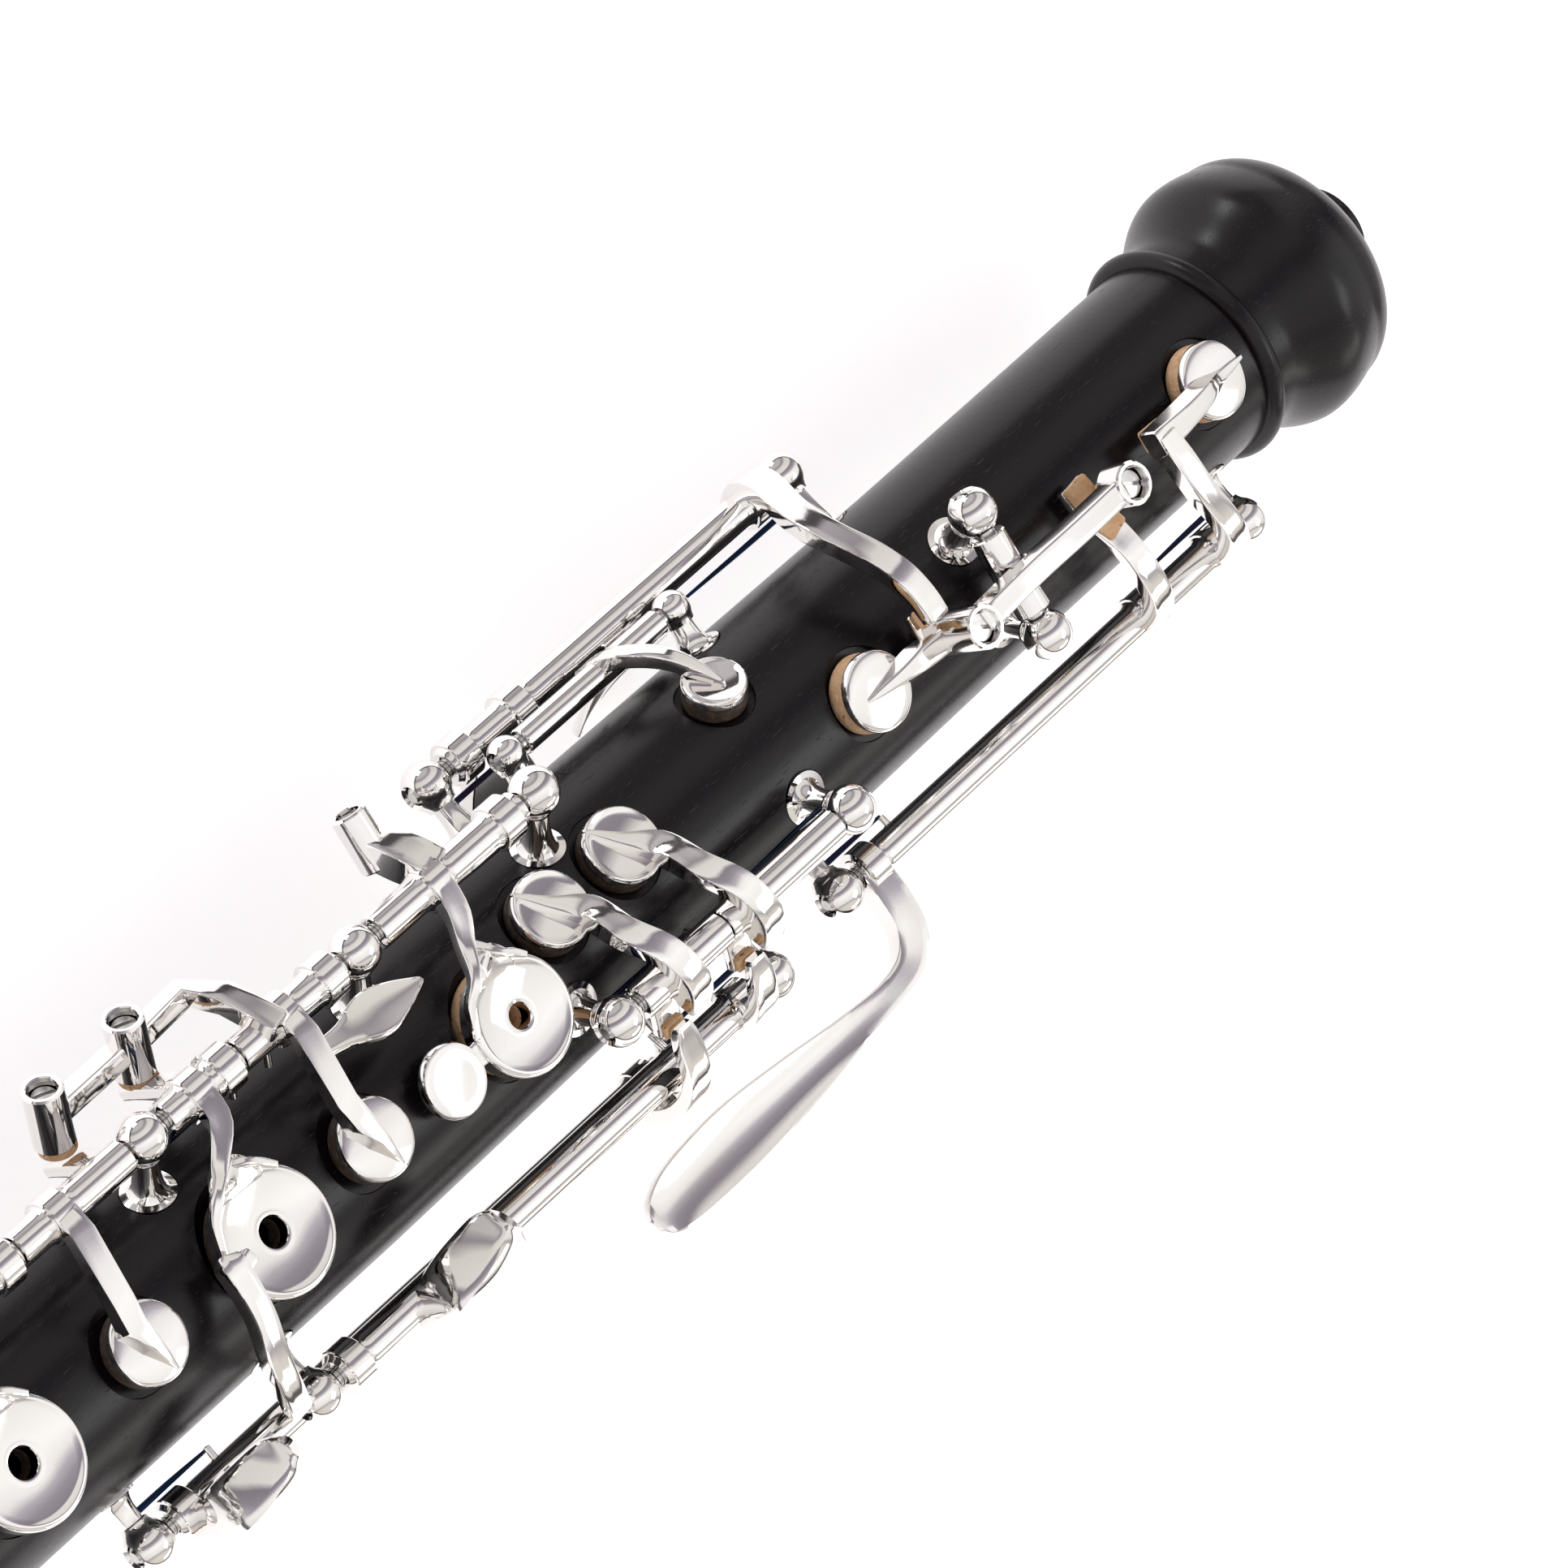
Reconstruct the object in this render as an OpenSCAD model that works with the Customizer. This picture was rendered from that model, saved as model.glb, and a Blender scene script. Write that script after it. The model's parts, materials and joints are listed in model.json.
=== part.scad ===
// Conservatoire oboe in three joints, lying along X with the reed end at +X and the finger keys up.
// Places on the instrument are given as [distance from the top, angle round from the front, radius].

/* [Body] */
// Depth of the reed socket
well_depth = 21; // [18:0.5:24]
// Radius of the reed socket
well_r = 3.45; // [3.3:0.05:3.6]
// Radius of the upper joint just under the bead
upper_top_r = 10.27; // [10.1:0.05:10.5]
// Radius of the upper joint from the half-hole key down
upper_low_r = 11.29; // [11.1:0.05:11.4]
// Radius of the lower joint at its top
lower_top_r = 12.1; // [12:0.05:12.3]
// Radius of the lower joint at its foot
lower_end_r = 12.6; // [12.4:0.05:12.8]
// Outside radius of the bell at its mouth
bell_mouth_r = 20; // [18.5:0.5:21]

/* [Key work] */
// Radius of the steel hinge rods
rod_r = 0.9; // [0.8:0.05:0.95]
// Radius of the bore in every hinge tube and post
rod_bore_r = 0.95; // [0.95:0.01:1]
// Outside radius of the hinge tubes
tube_r = 1.55; // [1.5:0.05:1.6]
// Radius of the ball on each post
ball_r = 2.35; // [2.2:0.05:2.4]
// Angle that the open keys stand off their seats
open_deg = 4.5; // [3.5:0.5:5]

/* [Hidden] */
$fn = 64;

// Lengths of the three joints, measured from the top
upper_end = 232;
lower_end = 486;
bell_end = 600;
upper_tenon = 18;
lower_tenon = 16;
socket_gap = 1;

// Hinge lines: [angle round from the front, radius from the bore axis]
side_line = [-66, 15.2];
thumb_line = [106, 16.6];
third_line = [90, 14.6];
main_line = [51, 17.8];
trill_line = [-21, 16];
lever_a_line = [-62, 16.6];
lever_b_line = [-78, 16.2];
g_sharp_line = [-45, 17.5];
right_line = [51, 18.9];
f_line = [-50, 18.6];
e_flat_line = [18, 18.6];
low_c_line = [90, 18.6];
low_b_line = [-92, 18.4];
bell_line = [-116, 18.4];
axle_a = 63.8;
axle_z = 14;

// Seats: [distance, angle, hole radius, pad radius]
side_seat = [30.9, 1.4, 1.9, 3.8];
rocker_seat = [81.8, -0.8, 1.9, 3.8];
third_seat = [93.5, 49.3, 1.9, 3.1];
upper_trill_seat = [113.1, 23.1, 1.9, 3.8];
lower_trill_seat = [123, 23.2, 2, 3.8];
half_seat = [132.7, 0.7, 1.3, 5];
c_seat = [151.7, 2.8, 2, 3.8];
a_seat = [165.1, 2.7, 2.2, 5.4];
b_flat_seat = [180.9, 3.2, 2.2, 3.8];
g_seat = [197, 1.4, 2.4, 5.4];
g_sharp_seat = [214, -2, 2.2, 4.2];
upper_seats = [side_seat, rocker_seat, third_seat, upper_trill_seat, lower_trill_seat, half_seat,
    c_seat, a_seat, b_flat_seat, g_seat, g_sharp_seat];
f_sharp_seat = [272, 0, 2.6, 5.6];
vent_seat = [287, 0, 2, 3.8];
e_seat = [306, 0, 2.8, 5.6];
d_seat = [336, 0, 3, 5.6];
f_seat = [338, -72, 2.6, 4];
e_flat_seat = [370, -18, 3.2, 4.8];
c_sharp_seat = [400, 8, 3.6, 6];
low_c_seat = [430, 8, 4.2, 6.2];
low_b_seat = [462, -35, 4.6, 6.4];
lower_seats = [f_sharp_seat, vent_seat, e_seat, d_seat, f_seat, e_flat_seat, c_sharp_seat,
    low_c_seat, low_b_seat];
bell_seat = [520, -50, 5, 6.6];
seat_margin = 0.6;
pad_gap = 0.08;

// Posts: [distance, angle, radius of the ball's centre]
upper_posts_at = [[32.1, side_line[0], side_line[1]], [92.9, side_line[0], side_line[1]],
    [66.8, thumb_line[0], thumb_line[1]], [116.9, thumb_line[0], thumb_line[1]],
    [117.8, main_line[0], main_line[1]], [141.9, main_line[0], main_line[1]],
    [169.4, main_line[0], main_line[1]], [208, main_line[0], main_line[1]],
    [93, trill_line[0], trill_line[1]], [125.5, trill_line[0], trill_line[1]],
    [105, lever_a_line[0], lever_a_line[1]], [167, lever_a_line[0], lever_a_line[1]],
    [114.6, lever_b_line[0], lever_b_line[1]], [186, lever_b_line[0], lever_b_line[1]],
    [205, g_sharp_line[0], g_sharp_line[1]], [228, g_sharp_line[0], g_sharp_line[1]]];
small_posts_at = [[87.8, third_line[0], third_line[1]], [111, third_line[0], third_line[1]]];
axle_posts_at = [[axle_a, 26.57, 15.65], [axle_a, -24.57, 15.39]];
lower_posts_at = [[262, right_line[0], right_line[1]], [296, right_line[0], right_line[1]],
    [350, right_line[0], right_line[1]], [312, f_line[0], f_line[1]], [350, f_line[0], f_line[1]],
    [356, e_flat_line[0], e_flat_line[1]], [382, e_flat_line[0], e_flat_line[1]],
    [384, low_c_line[0], low_c_line[1]], [412, low_c_line[0], low_c_line[1]],
    [443.6, low_c_line[0], low_c_line[1]], [270, low_b_line[0], low_b_line[1]],
    [477.6, low_b_line[0], low_b_line[1]], [273, bell_line[0], bell_line[1]],
    [478.6, bell_line[0], bell_line[1]]];
bell_posts_at = [[506, bell_line[0], bell_line[1]], [534, bell_line[0], bell_line[1]]];
stem_r = 1.25;
flange_r = 2.5;
flange_seat_r = 2.6;

// ---- Places and radii ----

// Outside radius of the wood at distance a from the top
function body_r(a) =
    a < upper_end ? upper_top_r + (upper_low_r - upper_top_r) * min(1, max(0, (a - 62) / 88)) :
    a < lower_end ? lower_top_r + (lower_end_r - lower_top_r) * max(0, (a - 262) / 224) :
    bell_r(a);
function bell_r(a) = 13 + (bell_mouth_r - 13) * pow(max(0, (a - 512) / (bell_end - 512)), 2.2);
function bore_r(a) = 2.1 + (a - well_depth) * 5.9 / (lower_end - well_depth);
// Height of a flat seat that a pad of radius p closes
function seat_r(s) = sqrt(pow(body_r(s[0]), 2) - pow(s[3] + seat_margin, 2)) - 0.05;
// Point at distance a, angle t round from the front, radius r
function spot(a, t, r) = [-a, r * sin(t), r * cos(t)];

module place(a, t, r = 0) {
    translate([-a, 0, 0]) rotate([-t, 0, 0]) translate([0, 0, r]) children();
}

// Turns a key about its hinge line
module swing(line, angle) {
    shift = [0, line[1] * sin(line[0]), line[1] * cos(line[0])];
    translate(shift) rotate([angle, 0, 0]) translate(-shift) children();
}

// ---- Swept arms ----

// Stations are [distance, angle, radius, width, thickness, angle that the top faces]
function curve(p0, p1, p2, p3, t) = 0.5 * (2 * p1 + (p2 - p0) * t
    + (2 * p0 - 5 * p1 + 4 * p2 - p3) * t * t + (3 * p1 - p0 - 3 * p2 + p3) * t * t * t);
function smoothed(c, n) = [
    for (i = [0 : len(c) - 2]) for (j = [0 : n - 1])
        curve(c[max(i - 1, 0)], c[i], c[i + 1], c[min(i + 2, len(c) - 1)], j / n),
    c[len(c) - 1]];
function unit(v) = v / norm(v);
function ring(p, q, s) =
    let (tangent = unit(q - p), facing = [0, sin(s[5]), cos(s[5])],
        up = unit(facing - tangent * (facing * tangent)), side = cross(tangent, up),
        centre = spot(s[0], s[1], s[2]), w = s[3] / 2, h = s[4] / 2, c = 0.4 * min(w, h))
    [for (k = [[w, h - c], [w - c, h], [c - w, h], [-w, h - c], [-w, c - h], [c - w, -h],
        [w - c, -h], [w, c - h]]) centre + side * k[0] + up * k[1]];

module arm(stations, n = 3) {
    s = smoothed(stations, n);
    last = len(s) - 1;
    path = [for (k = s) spot(k[0], k[1], k[2])];
    points = [for (i = [0 : last]) each ring(path[max(i - 1, 0)], path[min(i + 1, last)], s[i])];
    sides = [for (i = [0 : last - 1]) for (j = [0 : 7])
        let (a = i * 8 + j, b = i * 8 + (j + 1) % 8) each [[a, b, a + 8], [b, b + 8, a + 8]]];
    first_cap = [for (j = [1 : 6]) [0, j + 1, j]];
    end_cap = [for (j = [1 : 6]) [last * 8, last * 8 + j, last * 8 + j + 1]];
    polyhedron(points = points, faces = concat(sides, first_cap, end_cap), convexity = 6);
}

// ---- Repeated small shapes ----

module along(line, a0, a1, r) {
    place(a1, line[0], line[1]) rotate([0, 90, 0]) cylinder(r = r, h = a1 - a0);
}

// Hinge tube with a raised collar at each distance in the list
module tube(line, a0, a1, collars = [], r = tube_r) {
    along(line, a0, a1, r);
    for (a = collars) along(line, a - 1.1, a + 1.1, r + 0.45);
}

module tube_bore(line, a0, a1) {
    along(line, a0 - 1, a1 + 1, rod_bore_r);
}

// Cup that holds a pad: its flat underside is at the height given
module cup(seat, height, thick = 1.2) {
    r = seat[3] + 0.25;
    place(seat[0], seat[1], height)
        rotate_extrude() polygon([[0, 0], [r - 0.15, 0], [r, 0.2], [r, thick * 0.55],
            [r - 0.4, thick * 0.85], [0, thick]]);
}

// Finger plate with a dished top and, where hole is above zero, a hole through its middle
module plate(seat, height, hole, thick = 2.1) {
    r = seat[3] + 0.45;
    place(seat[0], seat[1], height)
        rotate_extrude() polygon([[hole, 0], [r - 0.2, 0], [r, 0.3], [r, thick - 0.5],
            [r - 0.5, thick], [r * 0.7, thick - 0.25], [r * 0.4, thick - 0.5], [hole, thick - 0.6]]);
}

module pad(seat, thick, hole = 0) {
    place(seat[0], seat[1], seat_r(seat) + pad_gap)
        rotate_extrude() polygon([[hole, 0], [seat[3] - 0.2, 0], [seat[3], 0.25],
            [seat[3], thick], [hole, thick]]);
}

function pad_top(seat, thick) = seat_r(seat) + pad_gap + thick;

// Tube that carries an adjusting screw, standing at the angle given, with its slotted screw
module barrel(a, t, bottom, top, facing, r = 2) {
    p = spot(a, t, bottom);
    translate(p) rotate([-facing, 0, 0]) difference() {
        cylinder(r = r, h = top - bottom);
        translate([0, 0, top - bottom - 0.5]) cylinder(r = r - 0.6, h = 1);
        translate([-r, -0.25, top - bottom - 1]) cube([2 * r, 0.5, 1]);
    }
}

// ---- Wood ----

finial_points = concat(
    [[0, well_r + 0.1], [0, 4.15], [0.3, 4.45], [3.4, 4.5], [3.9, 4.7], [4.3, 5.5]],
    [for (t = [0 : 15 : 90]) [4.4 + 5.2 * (1 - cos(t)), 6 + 6.8 * sin(t)]],
    [for (u = [0.25 : 0.25 : 1]) [9.6 + 3.8 * u, 12.8 + 0.65 * sin(90 * u)]],
    [for (u = [0.125 : 0.125 : 1]) [13.4 + 7.1 * u, 10.6 + 2.85 * (0.5 + 0.5 * cos(180 * u))]],
    [[21.8, 10.4]],
    [for (t = [0 : 20 : 180]) [23 - 1.1 * cos(t), 10.35 + 1.15 * sin(t)]],
    [[24.6, upper_top_r], [62, upper_top_r]]);

module turned(points) {
    rotate([0, -90, 0]) rotate_extrude() polygon([for (p = points) [p[1], p[0]]]);
}

module tone_hole(s) {
    place(s[0], s[1]) {
        cylinder(r = s[2], h = 30);
        translate([0, 0, seat_r(s)]) cylinder(r = s[3] + seat_margin, h = 12);
    }
}

module post_hole(p) {
    r = body_r(p[0]);
    place(p[0], p[1]) {
        translate([0, 0, r - 3.2]) cylinder(r = stem_r + 0.03, h = 8);
        translate([0, 0, sqrt(r * r - flange_seat_r * flange_seat_r) - 0.05])
            cylinder(r = flange_seat_r, h = 6);
    }
}

module upper_joint() {
    end = upper_end + upper_tenon;
    color([0.03, 0.03, 0.035]) difference() {
        turned(concat([[0, 0]], finial_points, [[150, upper_low_r], [upper_end - 0.4, upper_low_r],
            [upper_end, upper_low_r - 0.4], [upper_end, 9], [upper_end + 1.2, 9], [upper_end + 1.2, 8],
            [end - 2, 8], [end - 2, 9], [end, 9], [end, 0]]));
        translate([-well_depth, 0, 0]) rotate([0, 90, 0]) cylinder(r = well_r, h = well_depth + 1);
        turned([[well_depth - 0.5, 0], [well_depth - 0.5, bore_r(well_depth)],
            [end + 1, bore_r(end + 1)], [end + 1, 0]]);
        for (s = upper_seats) tone_hole(s);
        for (p = upper_posts_at) post_hole(p);
        for (p = small_posts_at) post_hole(p);
        for (p = axle_posts_at) post_hole(p);
    }
}

module lower_joint() {
    end = lower_end + lower_tenon;
    color([0.03, 0.03, 0.035]) difference() {
        turned([[upper_end + 4.1, 0], [upper_end + 4.1, 13.6], [upper_end + 18, 13.8],
            [upper_end + 22, 13.4], [upper_end + 26, 12.3], [upper_end + 27, lower_top_r],
            [262, lower_top_r], [lower_end - 4, body_r(lower_end - 4)], [lower_end - 3.4, 13.3],
            [lower_end - 1.4, 13.3], [lower_end - 0.8, 12.7], [lower_end, 12.7], [lower_end, 10.3],
            [lower_end + 1.2, 10.3], [lower_end + 1.2, 9.4], [end - 2, 9.4], [end - 2, 10.3],
            [end, 10.3], [end, 0]]);
        along([0, 0], upper_end + 4, upper_end + upper_tenon + socket_gap, 9.2);
        turned([[240, 0], [240, bore_r(240)], [end + 1, bore_r(end + 1)], [end + 1, 0]]);
        for (s = lower_seats) tone_hole(s);
        for (p = lower_posts_at) post_hole(p);
        thumb_rest_recess();
    }
}

module bell() {
    socket_end = lower_end + lower_tenon + socket_gap;
    color([0.03, 0.03, 0.035]) difference() {
        turned(concat([[lower_end + 3.1, 0], [lower_end + 3.1, 13.9], [lower_end + 14, 13.9],
            [lower_end + 15, 14.5], [lower_end + 16.5, 14.5], [lower_end + 17.5, 13]],
            [for (a = [512 : 8 : 592]) [a, bell_r(a)]],
            [[597, bell_mouth_r - 0.3], [599, bell_mouth_r], [bell_end, bell_mouth_r - 0.8],
            [bell_end, 0]]));
        along([0, 0], lower_end + 3, socket_end, 10.5);
        turned(concat([[socket_end - 1, 0], [socket_end - 1, 8.1]],
            [for (u = [0 : 0.1 : 1]) [socket_end + (bell_end - socket_end) * u,
                8.1 + (bell_mouth_r - 10.6) * pow(u, 1.8)]],
            [[bell_end + 2, bell_mouth_r - 2.4], [bell_end + 2, 0]]));
        tone_hole(bell_seat);
        for (p = bell_posts_at) post_hole(p);
    }
}

module sleeve(a0, a1, inner, outer) {
    turned([[a0, inner], [a0, outer], [a1, outer], [a1, inner]]);
}

module upper_tenon_cork() {
    color([0.74, 0.56, 0.38]) sleeve(upper_end + 1.25, upper_end + upper_tenon - 2.05, 8.02, 9.15);
}

module lower_tenon_cork() {
    color([0.74, 0.56, 0.38]) sleeve(lower_end + 1.25, lower_end + lower_tenon - 2.05, 9.42, 10.45);
}

module socket_ring() {
    color([0.9, 0.89, 0.87]) turned([[upper_end + 0.1, 9.22], [upper_end + 0.1, 13.8],
        [upper_end + 0.8, 14.3], [upper_end + 3.4, 14.3], [upper_end + 4.05, 13.7],
        [upper_end + 4.05, 9.22]]);
}

module bell_ring() {
    color([0.9, 0.89, 0.87]) turned([[lower_end + 0.1, 10.52], [lower_end + 0.1, 14],
        [lower_end + 0.7, 14.5], [lower_end + 2.5, 14.5], [lower_end + 3.05, 14], [lower_end + 3.05, 10.52]]);
}

module octave_vents() {
    color([0.75, 0.68, 0.5]) for (s = [side_seat, rocker_seat, third_seat])
        place(s[0], s[1]) difference() {
            translate([0, 0, 3.2]) cylinder(r = s[2] - 0.02, h = seat_r(s) - 3.25);
            cylinder(r = 0.5, h = 20);
        }
}

// ---- Posts, rods and springs ----

// Turned post with a flange on the wood, a screwed stem below it and a drilled ball on top
module post(p, across = false, r = ball_r) {
    wood = body_r(p[0]);
    foot = sqrt(wood * wood - flange_seat_r * flange_seat_r) - 0.03;
    place(p[0], p[1]) difference() {
        union() {
            rotate_extrude() polygon([[0, wood - 3.1], [stem_r, wood - 3.1], [stem_r, foot],
                [flange_r, foot], [flange_r, foot + 0.5], [flange_r - 0.6, foot + 0.9],
                [1.2, foot + 1.4], [1.2, p[2]], [0, p[2]]]);
            translate([0, 0, p[2]]) sphere(r = r);
        }
        if (!across) translate([-5, 0, p[2]]) rotate([0, 90, 0]) cylinder(r = rod_bore_r, h = 10);
        if (across) translate([0, 0, p[2]]) rotate([p[1], 0, 0]) rotate([90, 0, 0])
            cylinder(r = rod_bore_r, h = 12, center = true);
    }
}

module upper_posts() {
    color([0.9, 0.89, 0.87]) {
        for (p = upper_posts_at) post(p);
        for (p = small_posts_at) post(p, r = 1.8);
        for (p = axle_posts_at) post(p, across = true);
    }
}

module lower_posts() {
    color([0.9, 0.89, 0.87]) {
        for (p = lower_posts_at) post(p);
        for (p = bell_posts_at) post(p);
    }
}

// Rod with a domed and slotted head, from its upper post to its lower post
module hinge_rod(line, a0, a1) {
    difference() {
        along(line, a0 - 1.9, a1 + 1.9, rod_r);
        place(a0 - 1.9, line[0], line[1]) translate([-0.4, -2, -0.2]) cube([1, 4, 0.4]);
    }
}

module upper_rods() {
    color([0.78, 0.79, 0.8]) {
        hinge_rod(side_line, 32.1, 92.9);
        hinge_rod(thumb_line, 66.8, 116.9);
        hinge_rod(third_line, 88.2, 110.6);
        hinge_rod(main_line, 117.8, 208);
        hinge_rod(trill_line, 93, 125.5);
        hinge_rod(lever_a_line, 105, 167);
        hinge_rod(lever_b_line, 114.6, 186);
        hinge_rod(g_sharp_line, 205, 228);
        translate([-axle_a, 8.9, axle_z]) rotate([90, 0, 0]) cylinder(r = rod_r, h = 17.3);
    }
}

module lower_rods() {
    color([0.78, 0.79, 0.8]) {
        hinge_rod(right_line, 262, 350);
        hinge_rod(f_line, 312, 350);
        hinge_rod(e_flat_line, 356, 382);
        hinge_rod(low_c_line, 384, 443.6);
        hinge_rod(low_b_line, 270, 477.6);
        hinge_rod(bell_line, 273, 478.6);
        hinge_rod(bell_line, 506, 534);
    }
}

// Blued needle from a post's neck: [post distance, far end, angle]
spring_spots = [[92.9, 74, -66], [32.1, 48, -66], [66.8, 84, 106], [116.9, 98, 106], [93, 105, -21],
    [125.5, 113, -21], [117.8, 130, 51], [141.9, 154, 51], [169.4, 158, 51], [208, 193, 51],
    [105, 118, -62], [186, 172, -78], [228, 215, -45], [262, 276, 51], [296, 310, 51], [350, 336, 51],
    [350, 332, -50], [356, 368, 18], [384, 396, 90], [443.6, 428, 90], [477.6, 460, -92],
    [478.6, 462, -116], [506, 518, -116]];

module needle_springs() {
    color([0.08, 0.12, 0.25]) for (s = spring_spots) {
        way = sign(s[1] - s[0]);
        a0 = min(s[0] + way * 1.25, s[1]);
        a1 = max(s[0] + way * 1.25, s[1]);
        along([s[2], body_r(s[0]) + 1.9], a0, a1, 0.3);
    }
}

// ---- Thumb rest ----

rest_a = 300;
rest_z = -11.2;
rest_l = 26;
rest_w = 9;

module thumb_rest_recess() {
    translate([-rest_a - rest_l / 2 - 0.1, -rest_w / 2 - 0.1, rest_z - 6])
        cube([rest_l + 0.2, rest_w + 0.2, 6.03]);
    for (x = [-9, 9]) translate([x - rest_a, 0, rest_z - 1]) cylinder(r = 0.85, h = 3.4);
}

module thumb_rest() {
    color([0.9, 0.89, 0.87]) difference() {
        union() {
            translate([-rest_a - rest_l / 2, -rest_w / 2, rest_z - 1.6]) cube([rest_l, rest_w, 1.6]);
            translate([-rest_a, rest_w / 2, rest_z - 1.5]) rotate([90, 0, 0])
                linear_extrude(rest_w) polygon(concat([[-3, 0.2], [3, 0.2]],
                    [for (t = [0 : 15 : 90]) [3.4 + 8 * (1 - cos(t)) - 0.6, -2 - 8 * sin(t)]],
                    [[11, -11.6], [8.6, -12]],
                    [for (t = [75 : -15 : 0]) [1.2 + 10 * (1 - cos(t)) - 0.6, -3 - 9 * sin(t)]]));
        }
        for (x = [-9, 9]) translate([x - rest_a, 0, rest_z - 2]) {
            cylinder(r = 0.95, h = 3);
            cylinder(r = 1.75, h = 1.3);
        }
    }
}

module thumb_rest_screws() {
    color([0.78, 0.79, 0.8]) for (x = [-9, 9]) translate([x - rest_a, 0, rest_z]) difference() {
        union() {
            translate([0, 0, -1.5]) cylinder(r = 0.8, h = 3.6);
            translate([0, 0, -1.9]) cylinder(r = 1.6, h = 1.15);
        }
        translate([-2, -0.2, -2]) cube([4, 0.4, 0.5]);
    }
}

// ---- Octave keys ----

module side_octave_key() {
    top = pad_top(side_seat, 2);
    color([0.9, 0.89, 0.87]) difference() {
        union() {
            tube(side_line, 34.8, 90.3, [36.6, 47.4, 89]);
            arm([[36.4, -74, 15.8, 2.3, 2.2, -72], [37.2, -56, 16.4, 2.3, 2.2, -54],
                [39.6, -34, 15.7, 2.3, 2.1, -34], [40.6, -14, 14.7, 2.3, 2.1, -14],
                [40.8, 1, 14.2, 2.3, 2.1, 0]]);
            arm([[41.6, 0, 14.1, 2.2, 2, 0], [37.5, 0.6, 14, 2.2, 2, 0],
                [33.5, 1.4, 13.4, 1.7, 1.8, 0], [27.4, 1.4, top + 0.7, 0.6, 1, 0]]);
            arm([[47.4, -72, 15.8, 2.6, 2, -70], [48.2, -54, 16.2, 2.6, 2, -52],
                [49.6, -34, 15.2, 2.6, 1.7, -34], [50.2, -19, 13.2, 2.8, 1.2, -22],
                [51, -6, 12, 3, 1, -6], [51.4, 9, 11.8, 3, 1, 9]]);
            arm([[89, -66, 15.6, 3.4, 2.6, 24], [89.4, -68, 19.4, 3.4, 2.5, 22],
                [91, -70.5, 22.9, 3.3, 2.3, 20], [94.6, -72, 24.7, 3.2, 2.1, 15],
                [104, -72, 25, 4.2, 1.7, 12], [115, -72, 25.1, 6, 1.4, 12],
                [124, -72, 25.5, 5, 1.3, 12], [128.8, -72, 26, 1.6, 1, 12]]);
            cup(side_seat, top);
        }
        tube_bore(side_line, 34.8, 90.3);
    }
}

module side_octave_pad() { color([0.74, 0.56, 0.38]) pad(side_seat, 1.98); }

module octave_rocker() {
    top = pad_top(rocker_seat, 2);
    color([0.9, 0.89, 0.87]) difference() {
        union() {
            translate([-axle_a, 4.5, axle_z]) rotate([90, 0, 0]) cylinder(r = 1.7, h = 8.4);
            translate([-axle_a - 1.5, -1.15, axle_z]) cube([3, 2.3, 2.6]);
            arm([[50, 0, 16.6, 2.3, 2.2, 0], [57, 0, 16.9, 2.3, 2.2, 0], [64, 0, 16.9, 2.3, 2.2, 0],
                [71.5, -1.6, 16.4, 2.3, 2.2, 0]]);
            barrel(49.4, 0, 14.9, 18, 0, 2.1);
            barrel(72, -2, 11.9, 18, -2, 2.1);
            arm([[72, -1.8, 12.9, 2.2, 1.8, 0], [75.5, -1, 13, 2.4, 1.7, 0],
                [78.4, -0.8, 13, 2.2, 1.6, 0], [82.4, -0.8, top + 1, 0.6, 0.8, 0]]);
            arm([[74.6, -1, 12.9, 2.2, 1.2, 4], [74.4, 6, 12.9, 2.4, 1.1, 6], [74.2, 13, 13, 2.4, 1, 12]]);
            cup(rocker_seat, top);
        }
        translate([-axle_a, 6, axle_z]) rotate([90, 0, 0]) cylinder(r = rod_bore_r, h = 12);
    }
}

module octave_rocker_pad() { color([0.74, 0.56, 0.38]) pad(rocker_seat, 1.98); }

module thumb_octave_key() {
    color([0.9, 0.89, 0.87]) difference() {
        union() {
            tube(thumb_line, 69.4, 114.3, [71.2, 105, 113]);
            arm([[71.4, 112, 17.6, 2.4, 2, 108], [72.2, 92, 17.9, 2.4, 2, 92],
                [74.2, 68, 17, 2.4, 2, 70], [75, 48, 16.4, 2.4, 1.9, 48],
                [74.8, 28, 16.4, 2.4, 1.8, 28], [74.4, 10, 15.6, 2.4, 1.5, 8]]);
            arm([[105, 104, 17.2, 4, 2, 106], [105, 126, 17, 5, 1.8, 126],
                [105, 148, 16, 9, 1.6, 150], [105, 170, 15, 11, 1.5, 168]]);
        }
        tube_bore(thumb_line, 69.4, 114.3);
    }
}

module third_octave_key() {
    top = pad_top(third_seat, 1.6);
    color([0.9, 0.89, 0.87]) difference() {
        union() {
            tube(third_line, 89.8, 109, [], 1.3);
            arm([[98, 94, 15.1, 2, 1.6, 90], [97, 82, 15.4, 2, 1.6, 82],
                [95, 68, 14.5, 2, 1.5, 68], [93.8, 57, 13.2, 1.4, 1.2, 57],
                [93.2, 46, top + 0.8, 0.5, 0.6, 46]]);
            arm([[91.4, 88, 13.8, 3, 1.2, 90], [91.5, 106, 13.1, 3.2, 1.2, 106],
                [92, 128, 13.4, 5, 1.3, 128], [93, 148, 14.4, 6, 1.3, 148]]);
            cup(third_seat, top);
        }
        tube_bore(third_line, 89.8, 109);
    }
}

module third_octave_pad() { color([0.1, 0.09, 0.09]) pad(third_seat, 1.58); }

// ---- Trill keys and their levers ----

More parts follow.
